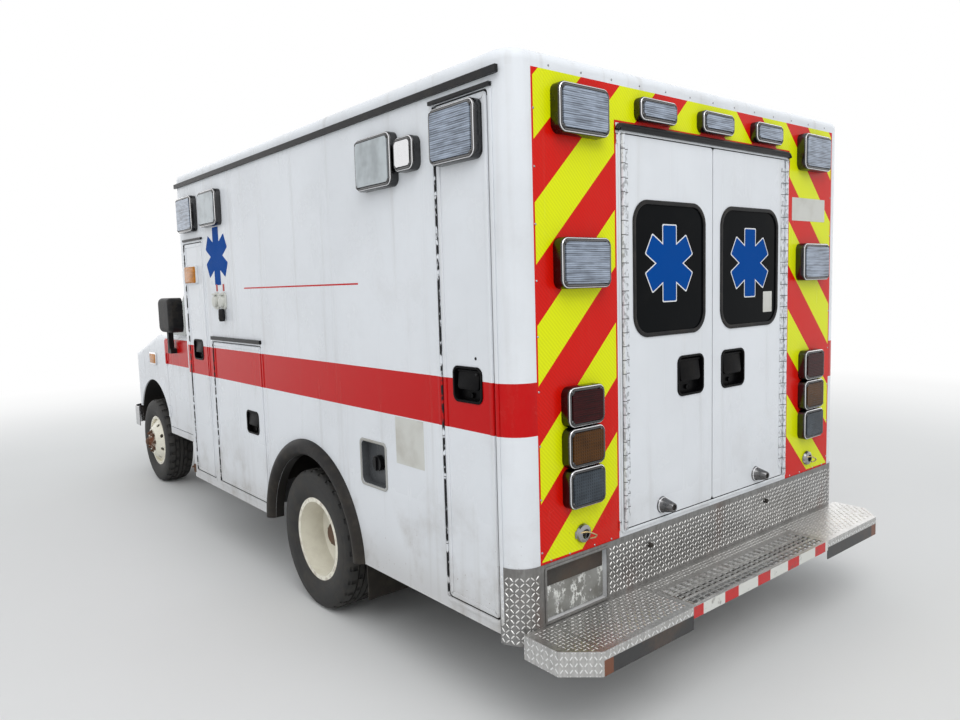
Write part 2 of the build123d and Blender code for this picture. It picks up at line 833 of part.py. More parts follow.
def cab_hinge_pins(hand):
    """The pillar's half of the cab door hinges: a lug below, a pin and a leaf for each."""
    x = hand * cab_hinge_x
    pins = None
    for z0, z1 in cab_hinges:
        lug = post(x, cab_hinge_y, z0, z0 + 35, cab_hinge_barrel) + post(x, cab_hinge_y, z0, z1, cab_hinge_pin)
        x0, x1 = sorted((hand * (cab_half_width - 6), hand * (cab_half_width + 3)))
        lug += block(x0, x1, cab_hinge_y - 40, cab_hinge_y - 2, z0, z0 + 35)
        pins = lug if pins is None else pins + lug
    return pins


def cab_hinge_barrels(hand):
    """The door's half of its hinges: a barrel over each pin and a leaf."""
    x = hand * cab_hinge_x
    barrels = None
    for z0, z1 in cab_hinges:
        lug = post(x, cab_hinge_y, z0 + 36, z1, cab_hinge_barrel)
        x0, x1 = sorted((hand * (cab_half_width - 6), hand * (cab_half_width + 3)))
        lug += block(x0, x1, cab_hinge_y + 2, cab_hinge_y + 40, z0 + 36, z1)
        lug -= post(x, cab_hinge_y, z0 + 35, z1 + 1, cab_hinge_pin + running_fit)
        barrels = lug if barrels is None else barrels + lug
    return barrels


def hood_prism(gap):
    """The hood's place in plan, shrunk by a gap."""
    outline = [
        (-643 + gap, nose + 87 + gap), (643 - gap, nose + 87 + gap),
        (763 - gap, cowl - 11 - gap), (gap - 763, cowl - 11 - gap),
    ]
    face = make_face(Polyline([(x, y, 1060 + gap) for x, y in outline], close=True))
    return extrude(face, 400, dir=(0, 0, 1))


hood_gap = 8
hood_hinge_y = cowl - 10
hood_hinge_z = belt + 12
hood_hinges = ((-640, -560), (560, 640))


def hood_hinge_leaves(inner):
    """Hood hinges: the cowl's pins, or the hood's barrels."""
    parts = None
    for x0, x1 in hood_hinges:
        if inner:
            lug = cross_bar(x0, x1, hood_hinge_y, hood_hinge_z, 4)
            lug += cross_bar(x0, x0 + 20, hood_hinge_y, hood_hinge_z, 8)
            lug += block(x0, x0 + 20, hood_hinge_y + 1, hood_hinge_y + 26, hood_hinge_z - 22, hood_hinge_z - 4)
        else:
            lug = cross_bar(x0 + 21, x1, hood_hinge_y, hood_hinge_z, 8)
            lug += block(x0 + 21, x1, hood_hinge_y - 34, hood_hinge_y - 1, hood_hinge_z - 24, hood_hinge_z - 6)
            lug -= cross_bar(x0 + 20, x1 + 1, hood_hinge_y, hood_hinge_z, 4 + running_fit)
        parts = lug if parts is None else parts + lug
    return parts


# Grille and headlamps
grille_half = 600
grille_bottom = 760
grille_height = 300
headlamp = (640, 880, 820, 1020)
grille_bars = 6


def build_nodes():
    """Every node of the vehicle, by name."""
    nodes = {}
    ring = module_wall_ring()
    nodes["module_side_walls"] = Compound(children=[side_wall(ring, 1), side_wall(ring, -1)])
    nodes["module_front_wall"] = module_front_wall(ring)
    nodes["module_rear_frame"] = module_rear_frame(ring)
    nodes["module_roof"] = module_roof()
    nodes["module_floor"] = module_floor()
    nodes["lockers"] = Compound(children=[locker(door) for door in side_doors])

    for door in side_doors:
        nodes[door[0]] = side_door(door)
    entry = nodes["side_entry_door"]
    nodes["side_entry_door"] = entry - entry_window_prism(0, -side - 1, -inner_side + 1)
    nodes["side_entry_window"] = entry_window_prism(glass_gap, -side + 2, -side + 2 + glass_thickness)

    for name, hand in (("left", 1), ("right", -1)):
        nodes[f"rear_{name}_door"] = rear_door(hand)
        nodes[f"rear_{name}_window"] = rear_glass(hand)
        nodes[f"rear_{name}_tyres"] = rear_tyres(hand)
        nodes[f"rear_{name}_wheels"] = rear_rims(hand)
        nodes[f"front_{name}_tyre"] = tyre(hand * front_track / 2, front_axle)
        nodes[f"front_{name}_wheel"] = front_rim(hand)
        nodes[f"{name}_knuckle"] = knuckle(hand)

    nodes["kick_panel"] = kick_panel()
    nodes["rear_step"] = rear_step()
    nodes["step_grating"] = step_grate()
    rubber = [make(hand) for make in (wheel_flare, rear_mud_flap, front_liner) for hand in (1, -1)]
    nodes["wheel_flares"] = Compound(children=rubber)
    nodes["patient_furniture"] = patient_furniture()
    nodes["drip_rails"] = drip_rails()
    lamps = [side_lamp(row, hand) for row in side_lights for hand in (1, -1)]
    lamps += paired_rear_lamps(rear_lights) + [rear_lamp(*row, 40) for row in top_markers]
    nodes["warning_lights"] = Compound(children=lamps)
    nodes["tail_lamps"] = Compound(children=paired_rear_lamps(tail_lamps))
    nodes["left_locker_lamp"] = side_lamp(rear_locker_light, 1)
    nodes["right_locker_lamp"] = side_lamp(rear_locker_light, -1)
    build_cab(nodes)
    build_frame(nodes)
    return nodes


# Tyre profile: across the tread from its middle, and radius
tyre_profile = [(0, 372), (84, 372), (108, 352), (112.5, 300), (92.5, 222), (80, 207), (0, 207)]
rim_profile = [(-92, 221), (-92, 198), (92, 198), (92, 221), (80, 206.7), (-80, 206.7)]
disc_profile = [(46, 199), (60, 199), (139, 112), (139, 68), (131, 68), (131, 104)]


def revolved(points, x, y, hand):
    """A (across, radius) outline turned round an axle at x and y; hand sets which way across runs."""
    outline = [(x + hand * across, y, tyre_radius + radius) for across, radius in points]
    face = make_face(Polyline(outline, close=True))
    axle = Axis((x, y, tyre_radius), (1, 0, 0))
    return revolve(face, axle, 360)


def tyre(x, y):
    """A tyre with square shoulders and bulged walls."""
    half = [(a, r) for a, r in tyre_profile]
    full = half + [(-a, r) for a, r in reversed(half) if a > 0]
    return revolved(full, x, y, 1)


hub_radius = 69
spindle_radius = 30
axle_tube_radius = 48
front_hub = [(88, spindle_radius), (131, spindle_radius), (131, 0), (176, 0), (176, 34), (160, 46), (144, 60)]
rim_holes = 8


def rim(x, y, hand):
    """A steel wheel: barrel, dished disc and hand holes."""
    wheel = revolved(rim_profile, x, y, hand) + revolved(disc_profile, x, y, hand)
    cuts = []
    for index in range(rim_holes):
        turn = Rot(360 / rim_holes * (index + 0.5), 0, 0)
        cuts.append(
            Pos(x + hand * 96, y, tyre_radius) * turn * Pos(0, 0, 152) * Rot(0, hand * 43, 0) * Cylinder(17, 60)
        )
    return wheel - Compound(children=cuts)


def rear_pair():
    """Middle planes of the outer and inner rear wheels, and the side their disc is on."""
    outer = rear_outer_face - tyre_width / 2
    return ((outer, -1), (outer - dual_pitch - 16, 1))


def rear_tyres(hand):
    """The twin tyres on one side."""
    return Compound(children=[tyre(hand * x, rear_axle) for x, disc in rear_pair()])


def front_rim(hand):
    """A front wheel with its hub, bored for the spindle."""
    x = hand * front_track / 2
    bore = spindle_radius + running_fit
    hub = [(across, bore if radius == spindle_radius else radius) for across, radius in front_hub]
    hub += [(144, hub_radius), (88, hub_radius)]
    return rim(x, front_axle, hand) + revolved(hub, x, front_axle, hand)


def rear_hub_face():
    """Where the rear discs meet the hub: the gap between them, out from the middle of the vehicle."""
    outer, inner = rear_pair()
    return (outer[0] + inner[0]) / 2


def rear_rims(hand):
    """The twin wheels on one side with the hub between their discs, bored for the axle tube."""
    face = rear_hub_face()
    bore = axle_tube_radius + running_fit
    hub = [
        (-70, bore), (-7, bore), (-7, 0), (72, 0), (72, 40), (60, 48), (14, 52), (14, hub_radius),
        (-70, hub_radius),
    ]
    pair = revolved(hub, hand * face, rear_axle, hand)
    for x, disc in rear_pair():
        pair += rim(hand * x, rear_axle, hand * disc)
    return pair


def knuckle(hand):
    """Steering knuckle: two ears and a king pin round the beam's eye, a spindle and a hub."""
    x = hand * king_pin_x
    part = post(x, front_axle, tyre_radius - 80, tyre_radius + 80, king_pin_radius)
    for z0 in (tyre_radius - 80, tyre_radius + 42):
        x0, x1 = sorted((x - hand * 30, x + hand * 70))
        part += block(x0, x1, front_axle - 28, front_axle + 28, z0, z0 + 38)
    x0, x1 = sorted((x + hand * 46, x + hand * 70))
    part += block(x0, x1, front_axle - 28, front_axle + 28, tyre_radius - 80, tyre_radius + 80)
    end = front_track / 2 + disc_offset - 5
    part += cross_bar(x + hand * 60, hand * end, front_axle, tyre_radius, spindle_radius)
    return part


# Springs, beams and shaft
beam_pivot_x = 330
spring_half = 640
spring_x = 520
spring_width = 64
spring_seat = 58
spring_camber = 40
final_drive_radius = 150
shaft_radius = 42


def frame_rail(hand):
    """One side rail: a channel open towards the middle."""
    x0, x1 = sorted((hand * (rail_x - rail_width / 2), hand * (rail_x + rail_width / 2)))
    rail = block(x0, x1, rail_front, rail_back, rail_bottom, rail_top)
    x0, x1 = sorted((hand * (rail_x - rail_width), hand * (rail_x + rail_width / 2 - rail_sheet)))
    return rail - block(x0, x1, rail_front - 1, rail_back + 1, rail_bottom + rail_sheet, rail_top - rail_sheet)


def cross_member(y):
    """A channel between the rails."""
    reach = rail_x + rail_width / 2 - rail_sheet
    half = cross_member_depth / 2
    z0, z1 = rail_bottom + cross_member_foot, rail_top - rail_sheet
    bar = block(-reach, reach, y - half, y + half, z0, z1)
    return bar - block(
        -reach - 1, reach + 1, y - half + rail_sheet, y + half + 1, z0 + rail_sheet, z1 - rail_sheet
    )


def spring_hanger(hand, y):
    """The bracket on a rail that holds one end of a leaf spring."""
    x0, x1 = sorted((hand * (rail_x + rail_width / 2), hand * (spring_x + spring_width / 2)))
    foot = tyre_radius + spring_seat + spring_camber - 20
    return block(x0, x1, y - 22, y + 22, foot, rail_bottom + 110) - leaf_spring(hand)


# Cross members and body mounts along the frame
cross_member_at = [
    nose + 180, front_axle + 620, (module_front + rear_axle) / 2, rear_axle - 480, rear_axle + 560,
    rail_back - 60,
]
body_mount_at = [
    cab_back - 1050, cab_back - 120, module_front + 200, rear_axle - 700, rear_axle + 700, module_rear - 250,
]


def frame():
    """The ladder frame: rails, cross members, spring hangers, beam brackets, body mounts and step beam."""
    pieces = [cross_member(y) for y in cross_member_at] + step_beam()
    for hand in (1, -1):
        pieces.append(frame_rail(hand))
        for y in (rear_axle - spring_half, rear_axle + spring_half):
            pieces.append(spring_hanger(hand, y))
        for y in body_mount_at:
            pieces.append(post(hand * rail_x, y, rail_top, floor_bottom, body_mount_radius))
        y0, y1 = beam_stations(hand)
        x0, x1 = sorted((-hand * (beam_pivot_x + glass_gap), -hand * rail_x))
        pieces.append(block(x0, x1, y0 - 12, y1 + 12, tyre_radius - 30, rail_bottom))
    return Compound(children=pieces)


engine_back = cab_front_wall - 15


def rear_axle_assembly():
    """The rear axle with its final drive, propeller shaft, spring seats and leaf springs."""
    tube_end = rear_hub_face() - 8
    axle = cross_bar(-tube_end, tube_end, rear_axle, tyre_radius, axle_tube_radius)
    axle += Pos(0, rear_axle, tyre_radius) * Sphere(final_drive_radius)
    low, high = tyre_radius - final_drive_radius + 5, rail_bottom - 8
    axle &= block(-side, side, rear_axle - 130, rear_axle + final_drive_radius, low, high)
    run = rear_axle - engine_back
    axle += Pos(0, engine_back + run / 2, tyre_radius + 60) * Rot(90, 0, 0) * Cylinder(shaft_radius, run)
    for hand in (1, -1):
        x0, x1 = sorted((hand * (spring_x - spring_width / 2), hand * (spring_x + spring_width / 2)))
        axle += block(x0, x1, rear_axle - 50, rear_axle + 50, tyre_radius + 30, tyre_radius + spring_seat + 4)
        axle += leaf_spring(hand)
    return axle


def beam_stations(hand):
    """Front and rear face of one front beam: the two beams pass each other."""
    return sorted((front_axle + hand * 8, front_axle + hand * 56))


def front_beam(hand):
    """One of the two crossed front axle beams, with the eye for the king pin."""
    y0, y1 = beam_stations(hand)
    eye = hand * king_pin_x
    outline = [
        (eye - hand * 10, tyre_radius - 34), (eye - hand * 10, tyre_radius + 34),
        (hand * spring_x, tyre_radius - 10), (-hand * beam_pivot_x, tyre_radius + 50),
        (-hand * beam_pivot_x, tyre_radius - 20), (hand * spring_x, tyre_radius - 80),
    ]
    face = make_face(Polyline([(x, y0, z) for x, z in outline], close=True))
    beam = extrude(face, y1 - y0, dir=(0, 1, 0))
    beam += post(eye, front_axle, tyre_radius - 40, tyre_radius + 40, 26)
    return beam - post(eye, front_axle, tyre_radius - 90, tyre_radius + 90, king_pin_radius + running_fit)


def engine():
    """The engine as one plain block, with a mounting foot on each rail."""
    part = block(-300, 300, nose + 440, engine_back, rail_bottom + 76, 1020)
    foot = rail_top + glass_gap
    for hand in (1, -1):
        x0, x1 = sorted((hand * 299, hand * (rail_x + 20)))
        part += block(x0, x1, front_axle - 60, front_axle + 60, foot, foot + 50)
    return part


tank_half = 330
tank_ends = (rear_axle + 620, module_rear - 200)
tank_heights = (rail_bottom - 60, rail_bottom - 4)


def fuel_tank():
    """The flat fuel tank with two straps under the rails."""
    y0, y1 = tank_ends
    tank = fillet(block(-tank_half, tank_half, y0, y1, *tank_heights).edges(), 20)
    for y in (y0 + 140, y1 - 140):
        tank += block(-rail_x, rail_x, y - 25, y + 25, rail_bottom - 10, rail_bottom - glass_gap)
    return tank


# Exhaust: pipe radius, bend radius, silencer radius and ends, and the pipe's line from the engine
exhaust_radius = 28
exhaust_bend = 70
silencer = (80, -520, 90)
exhaust_x = -230
exhaust_z = 388
exhaust_route = [
    (exhaust_x, engine_back, 520), (exhaust_x, engine_back + 130, 520), (exhaust_x, engine_back + 330, exhaust_z),
    (exhaust_x, 690, exhaust_z),
    (exhaust_x - 120, 690, 350), (-side + 30, 690, 350),
]


def exhaust():
    """The exhaust pipe with its silencer, led out ahead of the right rear wheel, and one hanger."""
    path = FilletPolyline(*exhaust_route, radius=exhaust_bend)
    start = Plane(origin=path @ 0, z_dir=path % 0)
    pipe = sweep(start * Circle(exhaust_radius), path=path)
    radius, front, rear = silencer
    body = Pos(exhaust_x, (front + rear) / 2, exhaust_z) * Rot(90, 0, 0) * Cylinder(radius, rear - front)
    body = chamfer(body.edges(), 14)
    hanger = block(-rail_x - 10, -rail_x + 10, 682, 698, 350, rail_bottom)
    return pipe + body + hanger


def build_frame(nodes):
    """Chassis, axles and everything under the floor."""
    nodes["frame_rails"] = frame()
    nodes["rear_axle"] = rear_axle_assembly()
    nodes["front_beams"] = front_beam(1) + front_beam(-1)
    nodes["engine"] = engine()
    nodes["tank_and_exhaust"] = Compound(children=[fuel_tank(), exhaust()])




def leaf_spring(hand):
    """A leaf pack: a shallow arc of three leaves with an eye at each end."""
    x0, x1 = sorted((hand * (spring_x - spring_width / 2), hand * (spring_x + spring_width / 2)))
    z = tyre_radius + spring_seat
    outline = [(rear_axle - spring_half, z + spring_camber), (rear_axle, z), (rear_axle + spring_half, z + spring_camber)]
    with BuildSketch(Plane(origin=(x0, 0, 0), x_dir=(0, 1, 0), z_dir=(1, 0, 0))) as section:
        with BuildLine():
            ThreePointArc(*outline)
            ThreePointArc(*[(y, height + 30) for y, height in outline])
            Line(outline[0], (outline[0][0], outline[0][1] + 30))
            Line(outline[2], (outline[2][0], outline[2][1] + 30))
        make_face()
    return extrude(section.sketch, x1 - x0)


screen_half_low = 750
screen_half_high = 600
screen_bottom = belt + 40
screen_top = cab_top - 110
lamp_gap = 0.3
crown_line = belt + 17


def screen_prism(grow):
    """The windscreen's front-view outline, grown by a gap and extruded back."""
    low, high = screen_half_low + grow, screen_half_high + grow
    z0, z1 = screen_bottom - grow, screen_top + grow
    points = [(-low, z0), (low, z0), (high, z1), (-high, z1)]
    face = make_face(Polyline([(x, cowl - 60, z) for x, z in points], close=True))
    return extrude(face, 900, dir=(0, 1, 0))


def lamp_prisms(shrink):
    """The headlamps' front-view outlines, shrunk by a gap and extruded back."""
    x0, x1, z0, z1 = headlamp
    y1 = nose + 520
    left = block(x0 + shrink, x1 - shrink, nose, y1, z0 + shrink, z1 - shrink)
    return left + block(-x1 + shrink, -x0 - shrink, nose, y1, z0 + shrink, z1 - shrink)


def build_cab(nodes):
    """Cab panels, parted from one skin."""
    outer = cab_outer()
    skin = outer - cab_inner()
    skin -= arch(front_axle, front_arch_centre, front_arch_radius, -side, side)
    glass = outer - cab_upper(screen_glass, cab_back + 40)
    for name, hand in (("left", 1), ("right", -1)):
        x0, x1 = sorted((hand * 720, hand * side))
        panel = skin & side_prism(cab_door_outline(0), x0, x1)
        panel -= side_prism(cab_window_outline(0), x0, x1)
        nodes[f"{name}_cab_door"] = panel - cab_hinge_room(hand) + cab_hinge_barrels(hand)
        nodes[f"{name}_cab_window"] = glass & side_prism(cab_window_outline(-glass_gap), x0, x1)
        nodes[f"{name}_mirror"] = cab_mirror(hand)
        skin -= side_prism(cab_door_outline(door_gap), x0, x1)

    nodes["hood"] = (skin & hood_prism(hood_gap)) + hood_hinge_leaves(False)
    skin -= hood_prism(0)
    nodes["windscreen"] = glass & screen_prism(-glass_gap)
    skin -= screen_prism(0)

    front_form = cab_lower(0, cab_back) - cab_lower(20, cab_back + 40)
    nodes["grille"] = grille(front_form)
    nodes["headlamps"] = front_form & lamp_prisms(lamp_gap)
    skin -= block(-grille_half, grille_half, nose, nose + 420, grille_bottom, grille_bottom + grille_height)
    skin -= lamp_prisms(0)

    pillar = cab_front_wall
    ahead = block(-side, side, nose, pillar, 0, crown_line)
    ahead -= block(-760, 760, cowl - 12, pillar + 1, belt - 140, crown_line + 1)
    nodes["front_panels"] = skin & ahead
    body = (skin - ahead) + hood_hinge_leaves(True)
    for hand in (1, -1):
        body -= cab_hinge_room(hand)
        body += cab_hinge_pins(hand)
    nodes["cab_body"] = body
    nodes["front_bumper"] = front_bumper()
    nodes["cab_floor"] = cab_floor()
    nodes["dashboard"] = dashboard()
    nodes["seat_cushions"] = Compound(children=seat_cushions(1) + seat_cushions(-1) + bench_cushions())
    nodes["cab_boot"] = cab_boot()


def cab_hinge_room(hand):
    """The notch round each cab door hinge."""
    x = hand * cab_hinge_x
    room = [post(x, cab_hinge_y, z0 - 3, z1 + 3, cab_hinge_barrel + 4) for z0, z1 in cab_hinges]
    return Compound(children=room)


bumper_half = 1000
bumper_foot = 455
bumper_height = 180
bumper_sheet = 6
bumper_return = 330


def front_bumper():
    """A pressed bumper wrapped round the nose, with two brackets back to the rails."""
    outer = cab_plan(bumper_half, nose, nose + bumper_return, 160, 60, bumper_foot)
    inner = cab_plan(
        bumper_half - bumper_sheet, nose + bumper_sheet, nose + bumper_return + 10, 160 - bumper_sheet, 60,
        bumper_foot - 1,
    )
    shell = extrude(outer, bumper_height, dir=(0, 0, 1)) - extrude(inner, bumper_height + 2, dir=(0, 0, 1))
    for hand in (1, -1):
        x0, x1 = sorted((hand * (rail_x - 28), hand * (rail_x + 28)))
        bracket = block(x0, x1, nose + 4, nose + 130, rail_bottom + 34, rail_bottom + rail_height - 10)
        shell += bracket - (bracket - extrude(outer, bumper_height, dir=(0, 0, 1)))
    return shell


sill_inner = 885
sill_outer = 905
hump_half = 255
hump_top = 1000


def gearbox_hump(grow):
    """The hump over the gearbox, grown by a gap."""
    y0 = cab_front_wall + 60
    hump = block(
        -hump_half - grow, hump_half + grow, y0 - grow, y0 + 560 + grow, floor_bottom + 30, hump_top + grow
    )
    return fillet(hump.edges().filter_by(Axis.Y) + hump.edges().filter_by(Axis.Z), 30)


def cab_floor():
    """The cab's floor pan with its sills and the hump over the gearbox."""
    y0 = cab_front_wall
    pan = block(-sill_outer, sill_outer, y0, cab_back, floor_bottom, floor_bottom + 32)
    for hand in (1, -1):
        x0, x1 = sorted((hand * sill_inner, hand * sill_outer))
        pan += block(x0, x1, y0, cab_back, cab_bottom + 5, floor_bottom + 1)
        x0, x1 = sorted((hand * (sill_outer - 1), hand * (cab_half_width - cab_skin)))
        pan += block(x0, x1, y0, cab_back, cab_bottom + 5, cab_door_bottom - door_gap - 6)
    return pan + gearbox_hump(0) + seat_base(1) + seat_base(-1)


dash_half = 880
wheel_centre = (400, 390, 1180)
wheel_size = 190
wheel_lean = 32


def dashboard():
    """Firewall, cowl shelf and dash moulding, with the steering column and wheel."""
    y0 = cab_front_wall
    wall = block(-side, side, y0, y0 + 20, floor_bottom + 32, belt - 40)
    shelf = block(-side, side, nose, y0 + 1, belt - 50, belt - 38)
    outline = [
        (y0 + 19, belt - 45), (y0 + 170, belt - 50), (y0 + 285, belt - 130), (y0 + 300, 1020), (y0 + 160, 900),
        (y0 + 19, 900),
    ]
    dash = wall + shelf + side_prism(outline, -dash_half, dash_half)
    room = cab_lower(cab_skin + glass_gap, cab_back) + cab_upper(cab_skin + glass_gap, cab_back)
    dash = (dash & room) - gearbox_hump(1)
    x, ahead, z = wheel_centre
    place = Pos(x, y0 + ahead, z) * Rot(wheel_lean - 90, 0, 0)
    outline = [(wheel_size - 14, 0), (wheel_size, 14), (wheel_size + 14, 0), (wheel_size, -14)]
    ring = revolve(make_face(Polyline([(r, 0, h) for r, h in outline], close=True)), Axis.Z, 360)
    spokes = Box(2 * wheel_size - 10, 40, 14) + Cylinder(48, 40)
    column = Pos(0, 0, -150) * Cylinder(32, 300)
    return dash + place * (ring + spokes + column)


# Cab seats: inner and outer side, front edge behind the door's front edge
seat_sides = (300, 780)
seat_front = door_front + 450
seat_base_top = 860
squab_top = 965
back_top = 1480
headrest = (440, 640, 1680)


def seat_base(hand):
    """A seat's pressed steel base on the cab floor."""
    x0, x1 = sorted((hand * (seat_sides[0] + 40), hand * (seat_sides[1] - 40)))
    return block(x0, x1, seat_front + 40, seat_front + 430, floor_bottom + 31, seat_base_top)


def seat_cushions(hand):
    """A bucket seat's cushion, leaning back and headrest."""
    x0, x1 = sorted((hand * seat_sides[0], hand * seat_sides[1]))
    y0 = seat_front
    cushion = side_prism(
        [(y0, seat_base_top), (y0 - 6, squab_top), (y0 + 20, squab_top + 12), (y0 + 470, squab_top - 20),
         (y0 + 450, seat_base_top)],
        x0, x1,
    )
    back = side_prism(
        [(y0 + 400, squab_top - 19), (y0 + 492, back_top), (y0 + 574, back_top), (y0 + 552, squab_top - 60),
         (y0 + 470, squab_top - 60), (y0 + 470, squab_top - 20)],
        x0, x1,
    )
    inner, outer, top = headrest
    x0, x1 = sorted((hand * inner, hand * outer))
    rest = block(x0, x1, y0 + 502, y0 + 572, back_top, top)
    return [cushion + back + rest]


def cab_mirror(hand):
    """A door mirror folded back along the window, on its bracket."""
    y0 = door_front + 190
    x0, x1 = sorted((hand * (cab_half_width + 10), hand * (cab_half_width + 120)))
    head = side_panel(y0 + 40, y0 + 330, 1385, 1660, 50, x0, x1)
    outer = head.faces().sort_by(Axis.X)[-1 if hand == 1 else 0]
    head = fillet(outer.edges(), 35)
    x0, x1 = sorted((hand * (cab_half_width + 14), hand * (cab_half_width + 54)))
    arm = block(x0, x1, y0 + 30, y0 + 70, 1240, 1500)
    x0, x1 = sorted((hand * cab_half_width, hand * (cab_half_width + 50)))
    return head + arm + block(x0, x1, y0 + 10, y0 + 90, 1205, 1245)


def cab_boot():
    """The rubber boot between the cab's back and the module."""
    outer = cab_lower(14, module_front) + cab_upper(14, module_front)
    inner = cab_lower(cab_skin, module_front + 5) + cab_upper(cab_skin, module_front + 5)
    ring = (outer - inner) & block(-side, side, cab_back, module_front, floor_bottom, module_top)
    return ring


def grille(front_form):
    """The radiator grille: a frame with cross bars, cut from the nose's own curve."""
    gap = 0.3
    x0, z0, z1 = grille_half - gap, grille_bottom + gap, grille_bottom + grille_height - gap
    part = front_form & block(-x0, x0, nose, nose + 420, z0, z1)
    pitch = (z1 - z0 - 24) / grille_bars
    slots = []
    for index in range(grille_bars):
        low = z0 + 24 + pitch * index
        for hand in (1, -1):
            a, b = sorted((hand * 20, hand * (x0 - 24)))
            slots.append(block(a, b, nose, nose + 420, low, low + pitch - 24))
    return part - Compound(children=slots)


def main():
    """Write one STEP file for each node."""
    os.makedirs("parts", exist_ok=True)
    for name, shape in build_nodes().items():
        export_step(shape, f"parts/{name}.step")


if __name__ == "__main__":
    main()
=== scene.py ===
import logging
import math
from dataclasses import dataclass, field
from enum import Enum
from typing import Sequence, Union

import bmesh
import bpy
from mathutils import Matrix, Vector


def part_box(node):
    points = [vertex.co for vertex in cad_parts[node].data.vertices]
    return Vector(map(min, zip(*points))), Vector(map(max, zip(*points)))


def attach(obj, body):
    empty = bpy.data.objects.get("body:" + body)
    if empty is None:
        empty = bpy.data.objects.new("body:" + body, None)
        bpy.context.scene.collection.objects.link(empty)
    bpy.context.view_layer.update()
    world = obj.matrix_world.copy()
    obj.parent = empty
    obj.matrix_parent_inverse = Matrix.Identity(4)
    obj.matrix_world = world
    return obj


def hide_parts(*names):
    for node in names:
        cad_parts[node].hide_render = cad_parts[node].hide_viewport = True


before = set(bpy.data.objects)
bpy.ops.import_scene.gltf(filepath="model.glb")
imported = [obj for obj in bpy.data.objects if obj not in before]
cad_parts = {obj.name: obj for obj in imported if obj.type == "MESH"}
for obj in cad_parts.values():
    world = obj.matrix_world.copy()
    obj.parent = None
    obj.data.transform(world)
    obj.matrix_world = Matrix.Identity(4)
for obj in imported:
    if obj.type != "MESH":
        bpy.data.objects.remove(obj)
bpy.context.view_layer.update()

LOG = logging.getLogger("ambulance")

Pair = tuple[float, float]
Triple = tuple[float, float, float]
Colour = Triple
Profile = tuple[Pair, ...]
Operand = Union["Signal", float, int]

# Planes, heights and lines that several pieces share, in metres
SIDE = 1.2055
REAR = 2.810
WALL_TOP = 2.440
STEP_EDGE = 3.090
STEP_TOP = 0.420
AXLE_HEIGHT = 0.372
FRONT_AXLE = -2.323
REAR_AXLE = 1.182
CAB_SIDE = 0.975

# Middle of the fuel filler's dish on the left side, along and up
FILLER = (1.8385, 0.893)

# Both sides, as the sign of X and the name that bodies and pieces carry
SIDES = ((1, "left"), (-1, "right"))


def srgb(red: float, green: float, blue: float) -> Colour:
    """The linear colour of screen values from 0 to 255."""
    shares = (value / 255 for value in (red, green, blue))
    return tuple(s / 12.92 if s <= 0.04045 else ((s + 0.055) / 1.055) ** 2.4 for s in shares)


WHITE = srgb(228, 231, 235)
RED = srgb(194, 8, 12)
CHEVRON_RED = srgb(214, 16, 2)
LIME = srgb(228, 236, 0)
DUST = srgb(134, 122, 104)
MUD = srgb(92, 78, 60)
RUST = srgb(112, 58, 28)


class Signal:
    """An output socket of a node tree that takes part in arithmetic."""

    def __init__(self, sheet: "NodeSheet", socket: bpy.types.NodeSocket | None) -> None:
        """Wraps an output socket of the sheet's tree, or none where the node has no output."""
        self.sheet = sheet
        self.socket = socket

    def math(self, operation: str, *others: Operand, first: Operand | None = None) -> "Signal":
        """The result of a Math node, of which this is the first input, or the one after first."""
        operands = ([] if first is None else [first]) + [self, *others]
        return self.sheet.add("ShaderNodeMath", {"operation": operation}, dict(enumerate(operands)))

    def __add__(self, other: Operand) -> "Signal":
        """Sum."""
        return self.math("ADD", other)

    def __radd__(self, other: Operand) -> "Signal":
        """Sum with a number first."""
        return self.math("ADD", other)

    def __sub__(self, other: Operand) -> "Signal":
        """Difference."""
        return self.math("SUBTRACT", other)

    def __rsub__(self, other: Operand) -> "Signal":
        """Difference from a number."""
        return self.math("SUBTRACT", first=other)

    def __mul__(self, other: Operand) -> "Signal":
        """Product."""
        return self.math("MULTIPLY", other)

    def __rmul__(self, other: Operand) -> "Signal":
        """Product with a number first."""
        return self.math("MULTIPLY", other)

    def __truediv__(self, other: Operand) -> "Signal":
        """Quotient."""
        return self.math("DIVIDE", other)

    def __lt__(self, other: Operand) -> "Signal":
        """1 where this is below the other, else 0."""
        return self.math("LESS_THAN", other)

    def __gt__(self, other: Operand) -> "Signal":
        """1 where this is above the other, else 0."""
        return self.math("GREATER_THAN", other)

    def __abs__(self) -> "Signal":
        """Size without sign."""
        return self.math("ABSOLUTE")

    def either(self, other: Operand) -> "Signal":
        """The larger of two signals."""
        return self.math("MAXIMUM", other)

    def both(self, other: Operand) -> "Signal":
        """The smaller of two signals."""
        return self.math("MINIMUM", other)

    def between(self, low: float, high: float) -> "Signal":
        """1 from low to high, else 0."""
        return (self > low) * (self < high)

    def saw(self, pitch: float) -> "Signal":
        """A rise from 0 to 1 over each pitch."""
        return (self / pitch).math("FRACT")

    def wave(self, pitch: float) -> "Signal":
        """A wave between 0 and 1 of the given pitch."""
        return (self * (2 * math.pi / pitch)).math("SINE") * 0.5 + 0.5

    def fade(self, low: float, high: float) -> "Signal":
        """A smooth rise from 0 at low to 1 at high."""
        return self.sheet.add(
            "ShaderNodeMapRange", {"interpolation_type": "SMOOTHSTEP", "clamp": True},
            {"Value": self, "From Min": low, "From Max": high},
        )


